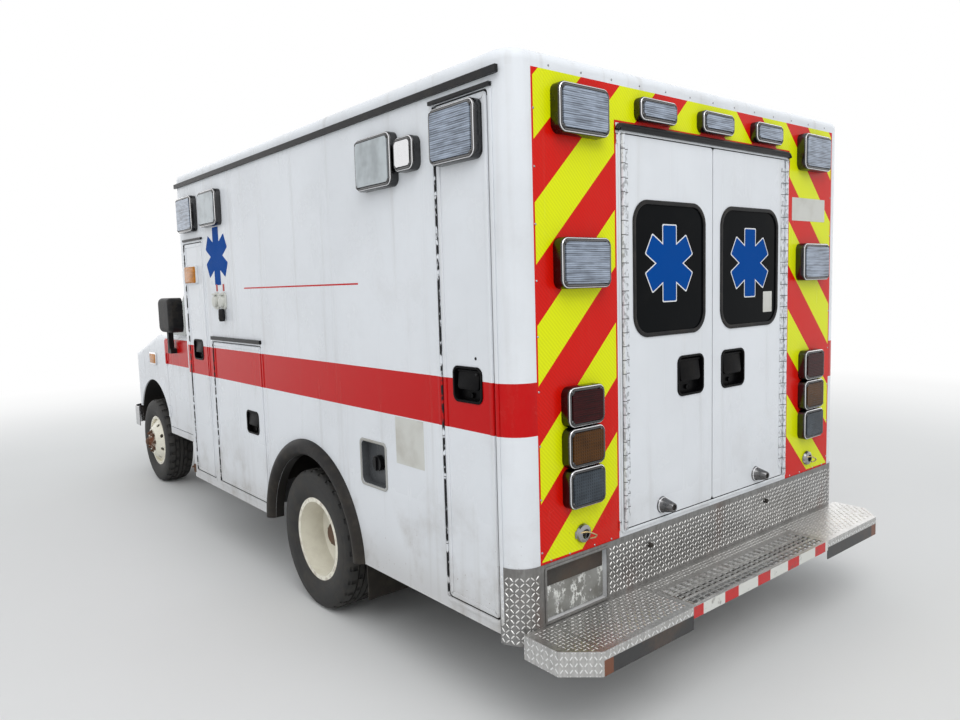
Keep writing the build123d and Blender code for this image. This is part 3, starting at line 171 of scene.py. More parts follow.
class NodeSheet:
    """The node tree of a material or of the world."""

    def __init__(self, owner: bpy.types.ID) -> None:
        """Empties the owner's tree.

        Args:
            owner: the material or world.
        """
        self.owner = owner
        owner.use_nodes = True
        self.tree = owner.node_tree
        self.tree.nodes.clear()

    def add(
        self, kind: str, settings: dict | None = None, inputs: dict | None = None, output: int | str = 0
    ) -> Signal:
        """Adds a node of any kind.

        Args:
            kind: the node's type.
            settings: attributes, set before its sockets.
            inputs: socket name or index to a value, a colour or a signal.
            output: the socket that is returned.

        Returns:
            The chosen output.
        """
        node = self.tree.nodes.new(kind)
        for key, value in (settings or {}).items():
            setattr(node, key, value)
        for key, value in (inputs or {}).items():
            socket = node.inputs[key]
            if isinstance(value, Signal):
                self.tree.links.new(value.socket, socket)
            elif isinstance(value, tuple) and socket.type == "RGBA":
                socket.default_value = (*value, 1.0)
            else:
                socket.default_value = value
        return Signal(self, node.outputs[output] if node.outputs else None)

    def seen(self) -> Signal:
        """Tells the rays from the camera, and those that metal and glass send on, from the others.

        Returns:
            1 for those rays, else 0.
        """
        path = self.add("ShaderNodeLightPath").socket.node
        camera, glossy, through = (
            Signal(self, path.outputs[f"Is {kind} Ray"]) for kind in ("Camera", "Glossy", "Transmission")
        )
        return camera.either(glossy).either(through)


class FinishSheet(NodeSheet):
    """The node tree of one finish."""

    def __init__(self, name: str) -> None:
        """Starts an empty material.

        Args:
            name: the material's name.
        """
        super().__init__(bpy.data.materials.new(name))
        self.place = self.add("ShaderNodeTexCoord", output="Object")
        split = self.add("ShaderNodeSeparateXYZ", inputs={0: self.place}).socket.node
        self.x, self.y, self.z = (Signal(self, split.outputs[i]) for i in range(3))

    def noise(
        self, scale: float, stretch: Colour = (1, 1, 1), detail: float = 3.0, rough: float = 0.55
    ) -> Signal:
        """Cloudy noise in object space.

        Args:
            scale: features per metre.
            stretch: scale along each axis, before the noise.
            detail: octaves.
            rough: how strong the fine octaves are.

        Returns:
            The noise, from 0 to 1 and mostly near 0.5.
        """
        spot = self.add("ShaderNodeMapping", inputs={"Vector": self.place, "Scale": stretch})
        inputs = {"Vector": spot, "Scale": scale, "Detail": detail, "Roughness": rough}
        return self.add("ShaderNodeTexNoise", inputs=inputs)

    def cells(self, scale: float, stretch: Colour = (1, 1, 1)) -> Signal:
        """Distance to scattered points, so many per metre, in object space."""
        spot = self.add("ShaderNodeMapping", inputs={"Vector": self.place, "Scale": stretch})
        return self.add("ShaderNodeTexVoronoi", inputs={"Vector": spot, "Scale": scale})

    def radius(self, y: float, z: float) -> Signal:
        """Distance from a line along X, at a place along the vehicle and a height."""
        across, up = self.y - y, self.z - z
        return (across * across + up * up).math("SQRT")

    def mix(self, share: Operand, base: Colour | Signal, over: Colour | Signal) -> Signal:
        """A blend of two colours, from base at a share of 0 to over at 1."""
        settings = {"data_type": "RGBA", "clamp_factor": True}
        return self.add("ShaderNodeMix", settings, {0: share, 6: base, 7: over}, output=2)

    def surface(
        self, base: Colour | Signal, rough: Operand = 0.5, metal: Operand = 0.0,
        bump: Signal | None = None, bump_height: float = 0.001, **fixed: float
    ) -> Signal:
        """Adds the shader of a surface.

        Args:
            base: colour.
            rough: roughness.
            metal: how metallic it is.
            bump: height, from 0 to 1.
            bump_height: what a height of 1 is, in metres.
            fixed: other sockets of the shader by name, with _ for a space.

        Returns:
            The shader.
        """
        inputs: dict = {"Base Color": base, "Roughness": rough, "Metallic": metal}
        if bump is not None:
            height = {"Strength": 1.0, "Distance": bump_height, "Height": bump}
            inputs["Normal"] = self.add("ShaderNodeBump", inputs=height)
        inputs.update({key.replace("_", " "): value for key, value in fixed.items()})
        return self.add("ShaderNodeBsdfPrincipled", inputs=inputs)

    def end(self, shader: Signal) -> None:
        """Makes a shader the material's own."""
        self.add("ShaderNodeOutputMaterial", inputs={"Surface": shader})

    def close(self, *values: Colour | Operand, **named: Signal | float) -> None:
        """Ends the material with one surface, described as for surface."""
        self.end(self.surface(*values, **named))


# Materials made so far, by the name of their finish
MADE: dict[str, bpy.types.Material] = {}


@dataclass(frozen=True)
class Finish:
    """A surface finish by name."""

    name: str

    def dress(self, sheet: FinishSheet) -> None:
        """Builds the finish's nodes in an empty tree."""
        raise NotImplementedError

    def material(self) -> bpy.types.Material:
        """Gives the finish's material, which is made the first time it is asked for.

        Returns:
            The material.
        """
        if self.name not in MADE:
            sheet = FinishSheet(f"{self.name}_finish")
            self.dress(sheet)
            MADE[self.name] = sheet.owner
        return MADE[self.name]


class Livery(Enum):
    """Which stripes a painted panel carries."""

    PLAIN = "plain"
    MODULE = "module"
    REAR = "rear"
    CAB = "cab"


@dataclass(frozen=True)
class BodyPaint(Finish):
    """Gloss white paint with its stripes, dust, streaks and stains."""

    livery: Livery = Livery.PLAIN
    colour: Colour = WHITE
    grime: float = 1.0
    hinges: bool = False
    band: Pair = (1.142, 1.337)
    cab_band: Pair = (1.100, 1.315)
    cab_band_front: float = -1.93
    underline_z: Pair = (1.709, 1.717)
    underline_y: Pair = (0.454, 1.769)
    stripe_pitch: float = 0.4365
    stripe_start: float = 2.626
    film_half: float = 1.096
    film_z: Pair = (0.654, 2.465)
    doorway: Pair = (0.651, 2.30)
    film_border: float = 0.009
    film_rib: float = 0.017
    # Radius round the rear axle inside which the wall is painted dark as shade of the wheel well
    arch_shade: float = 0.4562
    dish_half: Pair = (0.104, 0.0995)
    dish_floor: float = 1.10
    cap_radius: float = 0.040
    cap_face: float = 1.1662

    def chevrons(self, sheet: FinishSheet, base: Signal) -> tuple[Signal, Signal, Signal]:
        """Slanted stripes on the rear face, outside the doors.

        Args:
            sheet: the tree.
            base: the colour under them.

        Returns:
            The colour, the fine ribs of the film, and where the film is.
        """
        across = abs(sheet.x)
        rows = (sheet.z + across - self.stripe_start).saw(self.stripe_pitch) < 0.5
        foot, head = self.film_z
        door_half, door_head = self.doorway
        edge = (self.film_half - across).both(sheet.z - foot).both(head - sheet.z)
        edge = edge.both((across - door_half).either(sheet.z - door_head))
        where = (edge > 0.0) * (sheet.y > REAR - 0.008)
        border = where * (edge < self.film_border)
        film = sheet.mix(rows.either(border), LIME, CHEVRON_RED)
        ribs = (sheet.z - across).wave(self.film_rib)
        film = sheet.mix(ribs * 0.10, film, (0.0, 0.0, 0.0))
        return sheet.mix(where, base, film), ribs * where, where

    def shaded_openings(self, sheet: FinishSheet, base: Signal) -> Signal:
        """Dark colour round the rear wheels, painted shade of the wheel wells, and a grey fuel filler dish,
        partly its metal and partly painted shade of the recess, with a black cap.

        Args:
            sheet: the tree.
            base: the paint.

        Returns:
            The colour.
        """
        skin = SIDE - 0.001
        along, up = self.dish_half
        # Painted shade: the wall's cut edge round the rear wheels is made dark, as the wheel well's shade
        arch_shade = (sheet.radius(REAR_AXLE, AXLE_HEIGHT) < self.arch_shade) * (abs(sheet.x) < skin)
        shade = sheet.mix(arch_shade, base, srgb(42, 40, 38))
        # The filler's dish is grey: partly its metal, partly painted shade of the recess
        dish = sheet.x.between(self.dish_floor, skin) * sheet.y.between(FILLER[0] - along, FILLER[0] + along)
        dish = dish * sheet.z.between(FILLER[1] - up, FILLER[1] + up)
        shade = sheet.mix(dish, shade, srgb(84, 86, 88))
        cap = dish * (sheet.radius(*FILLER) < self.cap_radius) * (sheet.x > self.cap_face)
        return sheet.mix(cap, shade, srgb(20, 20, 21))

    def barrels(self, sheet: FinishSheet, base: Signal) -> Signal:
        """Chipped and blackened paint on the hinge barrels, which stand proud of the panels.

        Args:
            sheet: the tree.
            base: the paint.

        Returns:
            The colour.
        """
        proud, knuckle = 0.0008, 0.055
        side, rear = abs(sheet.x) > SIDE + proud, sheet.y > REAR + proud
        chips = sheet.noise(38, (1, 1, 0.55), detail=4).fade(0.40, 0.50)
        worn = sheet.noise(90, (1, 1, 0.5), detail=4).fade(0.50, 0.60) * 0.45
        gaps = sheet.z.saw(knuckle) < 0.07
        share = (side * chips).either(rear * worn).either(gaps * side.either(rear) * 0.8)
        return sheet.mix(share, base, srgb(30, 30, 32))

    def dress(self, sheet: FinishSheet) -> None:
        """Builds the paint.

        Args:
            sheet: the empty tree.
        """
        across = abs(sheet.x)
        cloud = sheet.noise(1.6, detail=4)
        dull = tuple(0.86 * c for c in self.colour)
        shade = sheet.mix(cloud.fade(0.38, 0.72) * 0.45, self.colour, dull)
        peel = sheet.noise(160, detail=1)
        bump = peel * 0.12
        film: Operand = 0.0
        if self.livery in (Livery.MODULE, Livery.REAR):
            outside = (across > 1.092) * (across > 1.18).either(sheet.y > 2.74)
            film = outside * sheet.z.between(*self.band)
            shade = sheet.mix(film, shade, RED)
        if self.livery is Livery.MODULE:
            line = (sheet.x > 1.2) * sheet.z.between(*self.underline_z) * sheet.y.between(*self.underline_y)
            shade = sheet.mix(line, shade, RED)
        if self.livery is Livery.CAB:
            film = (across > 0.9) * sheet.z.between(*self.cab_band) * (sheet.y > self.cab_band_front)
            shade = sheet.mix(film, shade, RED)
        if self.livery is Livery.REAR:
            shade, ribs, film = self.chevrons(sheet, shade)
            bump = bump + ribs * 0.35
        streak = sheet.noise(16, (1, 1, 0.045), detail=2).fade(0.54, 0.80)
        blotch = sheet.noise(3.4, detail=6, rough=0.65).fade(0.46, 0.78)
        low = 1 - sheet.z.fade(0.42, 1.0)
        splash = 1 - sheet.z.fade(0.40, 0.62)
        dirt = (streak * 0.15 + blotch * 0.09 + low * (0.10 + blotch * 0.35) + splash * 0.22) * self.grime
        dirt = dirt * (1 - film * 0.7)
        shade = sheet.mix(dirt, shade, DUST)
        spots = (sheet.cells(42) < 0.10) * low * sheet.noise(5).fade(0.5, 0.7)
        shade = sheet.mix(spots * 0.8 * self.grime, shade, RUST)
        if self.livery is Livery.MODULE:
            # Painted shade round the rear wheels and in the filler's dish
            shade = self.shaded_openings(sheet, shade)
        if self.hinges:
            shade = self.barrels(sheet, shade)
        sheet.close(shade, dirt * 0.5 + 0.26, bump=bump, bump_height=0.0006, Specular_IOR_Level=0.16)


@dataclass(frozen=True)
class Chrome(Finish):
    """Bright plating with a little dulling and pitting."""

    tone: float = 0.78
    rough: float = 0.14
    rust: float = 0.15
    tint: Colour = (1.0, 1.0, 1.02)

    def dress(self, sheet: FinishSheet) -> None:
        """Builds the plating.

        Args:
            sheet: the empty tree.
        """
        haze = sheet.noise(22, detail=5).fade(0.4, 0.75)
        pits = (sheet.cells(160) < 0.16) * sheet.noise(9).fade(0.5, 0.68)
        tone = tuple(self.tone * share for share in self.tint)
        shade = sheet.mix(haze * 0.22, tone, tuple(0.6 * share for share in tone))
        shade = sheet.mix(pits * self.rust, shade, RUST)
        sheet.close(shade, haze * 0.18 + self.rough, 1.0 - pits * self.rust, bump=haze, bump_height=0.0002)


class LensKind(Enum):
    """How a lamp's lens is moulded."""

    RIBBED = "ribbed"
    FROSTED = "frosted"
    GRID = "grid"


@dataclass(frozen=True)
class Lens(Finish):
    """A moulded lens over its reflector."""

    colour: Colour = srgb(196, 200, 204)
    kind: LensKind = LensKind.RIBBED
    depth: float = 0.45
    pitch: float = 0.010
    mirror: float = 0.25

    def dress(self, sheet: FinishSheet) -> None:
        """Builds the lens.

        Args:
            sheet: the empty tree.
        """
        dark = tuple(c * self.depth for c in self.colour)
        cloud = sheet.noise(11, detail=2).fade(0.35, 0.7)
        if self.kind is LensKind.FROSTED:
            grain = sheet.noise(420, detail=1)
            shade = sheet.mix(cloud * 0.5 + grain * 0.15, self.colour, dark)
            sheet.close(
                shade, 0.34, 0.35, bump=grain, bump_height=0.0004, Coat_Weight=0.3, Coat_Roughness=0.05
            )
            return
        ribs = sheet.z.wave(self.pitch)
        if self.kind is LensKind.GRID:
            ribs = ribs.both((sheet.x + sheet.y).wave(self.pitch))
        else:
            streaks = sheet.noise(46, (0.16, 0.16, 2.2), detail=3).fade(0.42, 0.60)
            cloud = cloud * 0.4 + streaks * 0.7
        shade = sheet.mix(ribs * 0.45 + cloud * 0.5, self.colour, dark)
        sheet.close(
            shade, 0.16, self.mirror, bump=ribs, bump_height=0.0012, Coat_Weight=self.mirror,
            Coat_Roughness=0.05, Specular_IOR_Level=0.1,
        )


@dataclass(frozen=True)
class TreadPlate(Finish):
    """Worn aluminium tread plate, with grime and rust-coloured stains; the plate between the raised bars
    takes a darker copy than the bars, partly for grime in the hollows and partly as painted shade.
    """

    tone: float = 0.52
    grime: float = 0.75
    tape: bool = False
    skirts: bool = False
    pitch: float = 0.024
    bar_length: float = 0.52
    bar_width: float = 0.16
    beam_half: float = 1.068
    beam_rust: float = 1.020
    beam_drop: float = 0.034
    tape_pitch: float = 0.25
    tape_shift: float = 0.03

    def lozenges(self, sheet: FinishSheet) -> Signal:
        """Bars on upright faces, turned one way and the other in turn.

        Args:
            sheet: the tree.

        Returns:
            1 on a bar, else 0.
        """
        along, up = (abs(sheet.x) - sheet.y) / self.pitch, sheet.z / self.pitch
        turn = (along.math("FLOOR") + up.math("FLOOR")).saw(2) > 0.25
        a, b = along.math("FRACT") - 0.5, up.math("FRACT") - 0.5
        first, second = abs(a + b), abs(a - b)
        one = (first < self.bar_length) * (second < self.bar_width)
        other = (second < self.bar_length) * (first < self.bar_width)
        return one * turn + other * (1 - turn)

    def dress(self, sheet: FinishSheet) -> None:
        """Builds the plate.

        Args:
            sheet: the empty tree.
        """
        brushed = sheet.noise(90, (1, 1, 0.2), detail=4)
        cloud = sheet.noise(5, detail=6, rough=0.7)
        tone = (self.tone, self.tone * 0.99, self.tone * 0.97)
        shade = sheet.mix(brushed.fade(0.3, 0.7) * 0.5, tone, tuple(0.55 * c for c in tone))
        grime = cloud.fade(0.40, 0.66) * self.grime
        shade = sheet.mix(grime, shade, srgb(72, 66, 58))
        stain = sheet.noise(7, (1, 1, 0.35), detail=5).fade(0.56, 0.72) * 0.6
        shade = sheet.mix(stain * self.grime, shade, RUST)
        metal = 1.0 - grime * 0.75
        rough = grime * 0.3 + 0.32
        if self.skirts:
            skirt = sheet.z < STEP_TOP - 0.004
            # Bars painted on the skirts' upright faces in a light tone: partly worn metal, partly painted
            # highlight on the bars
            shade = sheet.mix(skirt * self.lozenges(sheet), shade, (0.86, 0.86, 0.86))
            beam = (sheet.y > STEP_EDGE - 0.002) * (abs(sheet.x) < self.beam_half)
            beam = beam * (sheet.z < STEP_TOP - self.beam_drop)
            tip = beam * (abs(sheet.x) > self.beam_rust)
            dark = sheet.mix(cloud.fade(0.50, 0.66), srgb(40, 40, 41), srgb(66, 54, 46))
            shade = sheet.mix(beam, shade, sheet.mix(tip, dark, srgb(112, 62, 34)))
            metal = metal * (1 - beam)
        if self.tape:
            blocks = (abs(sheet.x - self.tape_shift) + 0.05).saw(self.tape_pitch) < 0.4
            edge = (sheet.y > STEP_EDGE - 0.0012) * (sheet.z < STEP_TOP - 0.001)
            film = sheet.mix(blocks, srgb(214, 214, 208), RED)
            film = sheet.mix(sheet.noise(30, detail=5).fade(0.55, 0.75) * 0.7, film, srgb(86, 78, 68))
            shade = sheet.mix(edge, shade, film)
            metal = metal * (1 - edge)
        scratch = sheet.noise(240, (0.15, 1, 1), detail=2)
        sheet.close(shade, rough, metal, bump=scratch, bump_height=0.0003)


@dataclass(frozen=True)
class Rubber(Finish):
    """Black rubber or moulded plastic with dust on it."""

    colour: Colour = srgb(24, 24, 26)
    dust: float = 0.16
    rough: float = 0.42
    grain: float = 260.0
    shine: float = 0.18

    def dress(self, sheet: FinishSheet) -> None:
        """Builds the rubber.

        Args:
            sheet: the empty tree.
        """
        cloud = sheet.noise(13, detail=6, rough=0.7).fade(0.42, 0.8)
        grain = sheet.noise(self.grain, detail=2)
        low = 1 - sheet.z.fade(0.3, 1.1)
        dust = (cloud * 0.7 + low * 0.5) * self.dust
        shade = sheet.mix(dust, self.colour, DUST)
        fixed = {"bump_height": 0.0005, "Specular_IOR_Level": self.shine}
        sheet.close(shade, grain * 0.16 + self.rough, bump=grain, **fixed)


@dataclass(frozen=True)
class TyreRubber(Finish):
    """Tyre rubber with moulded rings on the wall and dust in the tread."""

    axle: float = REAR_AXLE
    ring_pitch: float = 0.0062
    inner_rings: Pair = (0.245, 0.262)
    outer_rings: Pair = (0.318, 0.336)
    tread: Pair = (0.362, 0.371)

    def dress(self, sheet: FinishSheet) -> None:
        """Builds the rubber.

        Args:
            sheet: the empty tree.
        """
        reach = sheet.radius(self.axle, AXLE_HEIGHT)
        walls = reach.between(*self.inner_rings).either(reach.between(*self.outer_rings))
        rings = reach.wave(self.ring_pitch) * walls
        cloud = sheet.noise(18, detail=6, rough=0.7).fade(0.38, 0.76)
        shade = sheet.mix(cloud * 0.28, srgb(28, 28, 28), srgb(92, 86, 76))
        worn = reach.fade(*self.tread)
        shade = sheet.mix(worn * 0.35, shade, srgb(70, 68, 64))
        grain = sheet.noise(300, detail=2)
        sheet.close(shade, cloud * 0.12 + 0.66, bump=rings * 0.7 + grain * 0.3, bump_height=0.0012)


@dataclass(frozen=True)
class WheelPaint(Finish):
    """Cream wheel enamel that rusts towards the hub and at the rim."""

    axle: float = REAR_AXLE
    hub: float = 0.110
    rim: Pair = (0.196, 0.206)

    def dress(self, sheet: FinishSheet) -> None:
        """Builds the enamel.

        Args:
            sheet: the empty tree.
        """
        reach = sheet.radius(self.axle, AXLE_HEIGHT)
        cloud = sheet.noise(26, detail=6, rough=0.7)
        rust = (1 - reach.fade(self.hub - 0.02, self.hub + 0.025)) * cloud.fade(0.30, 0.52)
        edge = reach.fade(*self.rim) * cloud.fade(0.46, 0.60) * 0.35
        rust = rust.either(edge)
        dust = sheet.noise(9, detail=4).fade(0.4, 0.8)
        shade = sheet.mix(dust * 0.25, srgb(240, 236, 220), srgb(176, 164, 140))
        shade = sheet.mix(rust, shade, sheet.mix(cloud, srgb(62, 36, 22), srgb(128, 72, 38)))
        sheet.close(shade, rust * 0.45 + 0.36, bump=cloud * rust, bump_height=0.0012)


@dataclass(frozen=True)
class Glazing(Finish):
    """Window glass, clear or nearly black."""

    colour: Colour = srgb(14, 16, 18)
    clear: float = 0.0

    def dress(self, sheet: FinishSheet) -> None:
        """Builds the glass.

        Args:
            sheet: the empty tree.
        """
        film = sheet.noise(6, detail=5).fade(0.45, 0.8)
        shade = sheet.mix(film * 0.012, self.colour, DUST)
        level = 0.5 if self.clear else 0.03
        sheet.close(
            shade, film * 0.06 + 0.03, Transmission_Weight=self.clear, IOR=1.48, Specular_IOR_Level=level
        )


@dataclass(frozen=True)
class Steel(Finish):
    """Painted or bare chassis steel, muddy and rusty."""

    colour: Colour = srgb(40, 38, 36)
    rust: float = 0.45
    metal: float = 0.2

    def dress(self, sheet: FinishSheet) -> None:
        """Builds the steel.

        Args:
            sheet: the empty tree.
        """
        cloud = sheet.noise(8, detail=7, rough=0.7)
        flake = sheet.noise(70, detail=4)
        rust = cloud.fade(0.44, 0.62) * self.rust
        mud = sheet.noise(3, detail=4).fade(0.45, 0.7) * 0.5
        shade = sheet.mix(mud, self.colour, MUD)
        shade = sheet.mix(rust, shade, sheet.mix(flake, srgb(58, 32, 20), srgb(124, 70, 36)))
        sheet.close(shade, flake * 0.2 + 0.55, self.metal - rust * self.metal, bump=flake, bump_height=0.0014)


@dataclass(frozen=True)
class Vinyl(Finish):
    """Seat vinyl with a leather grain and sewn channels."""

    colour: Colour = srgb(70, 72, 78)
    channel: float = 0.0

    def dress(self, sheet: FinishSheet) -> None:
        """Builds the vinyl.

        Args:
            sheet: the empty tree.
        """
        grain = sheet.cells(420).fade(0.0, 0.7)
        wear = sheet.noise(7, detail=5).fade(0.5, 0.8)
        shade = sheet.mix(wear * 0.3, self.colour, tuple(min(1.0, 1.5 * c) for c in self.colour))
        bump = grain * 0.25
        if self.channel:
            seam = (abs(sheet.x) + self.channel / 2).saw(self.channel).fade(0.0, 0.06)
            bump = bump + seam * 0.75
            shade = sheet.mix(1 - seam, shade, tuple(0.4 * c for c in self.colour))
        sheet.close(shade, wear * 0.15 + 0.42, bump=bump, bump_height=0.0015)


@dataclass(frozen=True)
class Plastic(Finish):
    """Moulded plastic or sheet in one colour, grained and lightly soiled."""

    colour: Colour = srgb(60, 60, 62)
    rough: float = 0.5
    soil: float = 0.2
    metal: float = 0.0
    grain: float = 500.0
    shine: float = 0.3

    def dress(self, sheet: FinishSheet) -> None:
        """Builds the plastic.

        Args:
            sheet: the empty tree.
        """
        cloud = sheet.noise(7, detail=5).fade(0.42, 0.8)
        grain = sheet.noise(self.grain, detail=1)
        shade = sheet.mix(cloud * self.soil, self.colour, DUST)
        fixed = {"bump_height": 0.0003, "Specular_IOR_Level": self.shine}
        sheet.close(shade, cloud * 0.12 + self.rough, self.metal, bump=grain, **fixed)


@dataclass(frozen=True)
class Scuffed(Finish):
    """Grey plate with white scrape marks where a licence plate was screwed on."""

    def dress(self, sheet: FinishSheet) -> None:
        """Builds the plate.

        Args:
            sheet: the empty tree.
        """
        scrape = sheet.noise(46, (1.0, 1.0, 0.6), detail=6, rough=0.75)
        patch = sheet.noise(9, detail=3).fade(0.42, 0.58)
        shade = sheet.mix(sheet.noise(7, detail=4).fade(0.35, 0.7), srgb(150, 150, 146), srgb(118, 116, 110))
        shade = sheet.mix(scrape.fade(0.50, 0.56) * patch, shade, srgb(226, 226, 222))
        sheet.close(shade, scrape * 0.2 + 0.4, 0.1, bump=scrape, bump_height=0.0006, Specular_IOR_Level=0.25)


@dataclass(frozen=True)
class Lining(Finish):
    """The patient compartment's pale lining, with a speckled floor, a dark underside, and a dark wheel-well
    box that is painted shade.
    """

    floor: Pair = (0.645, 0.655)
    underside: float = 0.603
    box_half: float = 0.4665
    box_inner: float = 0.676
    box_top: float = 0.866

    def dress(self, sheet: FinishSheet) -> None:
        """Builds the lining.

        Args:
            sheet: the empty tree.
        """
        speck = sheet.noise(420, detail=2).fade(0.55, 0.62)
        vinyl = sheet.mix(speck * 0.5, srgb(118, 122, 126), srgb(70, 74, 80))
        shade = sheet.mix(sheet.noise(3).fade(0.4, 0.8) * 0.15, srgb(216, 216, 210), DUST)
        # Painted shade: the box round the rear wheels is made dark, as the floor's underside is
        box = (abs(sheet.y - REAR_AXLE) < self.box_half) * (abs(sheet.x) > self.box_inner)
        box = box * (sheet.z < self.box_top)
        shade = sheet.mix(sheet.z.between(*self.floor), shade, vinyl)
        shade = sheet.mix(box.either(sheet.z < self.underside), shade, srgb(46, 43, 40))
        sheet.close(shade, 0.48, bump=sheet.noise(200), bump_height=0.0003)


# Finishes of the vehicle
MODULE_PAINT = BodyPaint("module_paint", Livery.MODULE)
SIDE_PAINT = BodyPaint("side_paint", Livery.MODULE, hinges=True)
REAR_PAINT = BodyPaint("rear_paint", Livery.REAR, hinges=True)
REAR_DOOR_PAINT = BodyPaint("rear_door_paint", grime=0.8, hinges=True)
PLAIN_PAINT = BodyPaint("plain_paint", grime=0.8)
ROOF_PAINT = BodyPaint("roof_paint", grime=1.5)
CAB_PAINT = BodyPaint("cab_paint", Livery.CAB, grime=1.2)
BRIGHT = Chrome("bright_plating")
# The next three are dark copies of one plating for the lamps and other trim: their low tones stand for black
# plating and for dark surroundings reflected in it, a painted reflection, and on the lamps the darkest one on
# the housing walls against a lighter face is painted shade
SHADE_BRIGHT = Chrome("shaded_plating", tone=0.07, rough=0.16, rust=0.15)
MID_BRIGHT = Chrome("rim_plating", tone=0.15, rough=0.18, rust=0.2)
DARK_BRIGHT = Chrome("dark_plating", tone=0.10, rough=0.20, rust=0.2)
GRILLE_BRIGHT = Chrome("grille_plating", tone=0.46, rough=0.18, rust=0.25)
BUMPER_BRIGHT = Chrome("bumper_plating", tone=0.50, rough=0.14, rust=0.35)
BRASS = Chrome("brass_wire", tone=0.5, rough=0.25, tint=(1.0, 0.78, 0.42))
CLEAR_RIBBED = Lens("clear_ribbed_lens", srgb(176, 188, 206), depth=0.16, pitch=0.0078)
CLEAR_FROSTED = Lens("frosted_lens", srgb(178, 186, 190), LensKind.FROSTED, 0.42)
RED_LENS = Lens("red_lens", srgb(62, 8, 12), depth=0.25, pitch=0.008, mirror=0.03)
AMBER_LENS = Lens("amber_lens", srgb(84, 52, 18), LensKind.GRID, 0.18, 0.012, 0.03)
WHITE_LENS = Lens("reversing_lens", srgb(74, 82, 90), LensKind.GRID, 0.22, 0.012, 0.05)
# PLATE and PLATE_HIGH are two copies of one tread plate, dark for the plate and much lighter for its raised
# bars: partly grime and wear, partly painted shade in the hollows and painted highlight on the bars
PLATE = TreadPlate("tread_plate", tone=0.30, grime=0.40)
STEP_PLATE = TreadPlate("step_plate", tone=0.60, grime=0.10, skirts=True)
PLATE_HIGH = TreadPlate("tread_plate_bars", tone=0.88, grime=0.08)
GRATING = TreadPlate("grip_grating", tone=0.66, grime=0.30, tape=True)
BLACK_RUBBER = Rubber("black_rubber")
GLOSS_BLACK = Rubber("black_gloss", colour=srgb(10, 10, 12), dust=0.04, rough=0.26, grain=60, shine=0.06)
# Near-black for every drip rail: the rails' own black, and painted shadow of the dark line under them
DRIP_TRIM = Rubber("drip_trim", colour=srgb(20, 21, 24), dust=0.08, rough=0.3)
SEALANT = Plastic("white_extrusion", srgb(224, 227, 230), 0.34, 0.22)
DARK_GLASS = Glazing("dark_glass")
CAB_GLASS = Glazing("cab_glass", srgb(150, 168, 164), 0.85)
RIM_BRIGHT = Chrome("worn_plating", tone=0.34, rough=0.22, rust=0.5)
MIRROR_GLASS = Chrome("mirror_glass", tone=0.9, rough=0.03, rust=0.0)
FRAME_STEEL = Steel("frame_steel")
RUSTY_STEEL = Steel("rusty_steel", srgb(88, 62, 44), 0.85)
ENGINE_IRON = Steel("engine_iron", srgb(58, 58, 58), 0.35)
ALUMINIUM = Plastic("locker_aluminium", srgb(168, 170, 172), 0.42, 0.2, 0.85, 120)
SCRATCHED = Plastic("scratched_aluminium", srgb(172, 172, 168), 0.5, 0.5, 0.5, 90)
SCUFFED = Scuffed("scuffed_plate")
# A dark strip of painted shadow at the top of the plate's recess, in steel
RECESS_SHADOW_STEEL = Steel("painted_recess_shadow", srgb(52, 50, 48), 0.1, 0.0)
DASH = Plastic("dash_plastic", srgb(52, 54, 58), 0.6, 0.15)
CREAM = Plastic("inlet_cover", srgb(206, 207, 200), 0.4, 0.2)
STICKER = Plastic("blank_sticker", srgb(206, 206, 200), 0.5, 0.35)
BLUE = Plastic("emblem_blue", srgb(0, 70, 148), 0.5, 0.01, shine=0.03)
EMBLEM_WHITE = Plastic("emblem_white", srgb(228, 230, 232), 0.35, 0.1)
TAG_RED = Plastic("tag_red", srgb(178, 26, 22), 0.42, 0.2)
AMBER_MARKER = Lens("marker_amber", srgb(206, 128, 16), LensKind.RIBBED, 0.5, 0.009, 0.04)
SEAT_VINYL = Vinyl("seat_vinyl", channel=0.09)
BENCH_VINYL = Vinyl("bench_vinyl", srgb(52, 74, 104))
LINING = Lining("module_lining")


class Face(Enum):
    """A side of the vehicle: where its plane is, and which ways across, up and outwards run."""

    LEFT = ((SIDE, 0, 0), (0, 1, 0), (0, 0, 1), (1, 0, 0))
    RIGHT = ((-SIDE, 0, 0), (0, -1, 0), (0, 0, 1), (-1, 0, 0))
    REAR = ((0, REAR, 0), (-1, 0, 0), (0, 0, 1), (0, 1, 0))
    TOP = ((0, 0, 0), (1, 0, 0), (0, 1, 0), (0, 0, 1))

    def place(self, along: float, height: float, out: float = 0.0) -> Matrix:
        """A placement on this side.

        Args:
            along: world Y on the long sides, world X on the others.
            height: world Z, or world Y on top.
            out: distance outwards from the side's plane.

        Returns:
            The matrix that takes across, up and outwards to the world.
        """
        origin, across, up, outward = (Vector(v) for v in self.value)
        axes = Matrix((across, up, outward)).transposed().to_4x4()
        spread = along * (1 if sum(across) > 0 else -1)
        spot = origin + across * spread + up * height + outward * out
        return Matrix.Translation(spot) @ axes

    @staticmethod
    def of(hand: int) -> "Face":
        """The left side for 1, the right side for -1."""
        return Face.LEFT if hand == 1 else Face.RIGHT


# The module's doors: the side that each is on, and where its latch is, along and up
DOORS = (
    ("left_front_locker_door", Face.LEFT, -0.387, 1.312),
    ("left_middle_locker_door", Face.LEFT, 0.472, 0.916),
    ("left_rear_locker_door", Face.LEFT, 2.548, 1.318),
    ("right_front_locker_door", Face.RIGHT, -0.387, 1.312),
    ("side_entry_door", Face.RIGHT, 0.560, 1.150),
    ("right_rear_locker_door", Face.RIGHT, 2.548, 1.318),
    ("left_rear_door", Face.REAR, 0.165, 1.275),
    ("right_rear_door", Face.REAR, -0.165, 1.275),
)


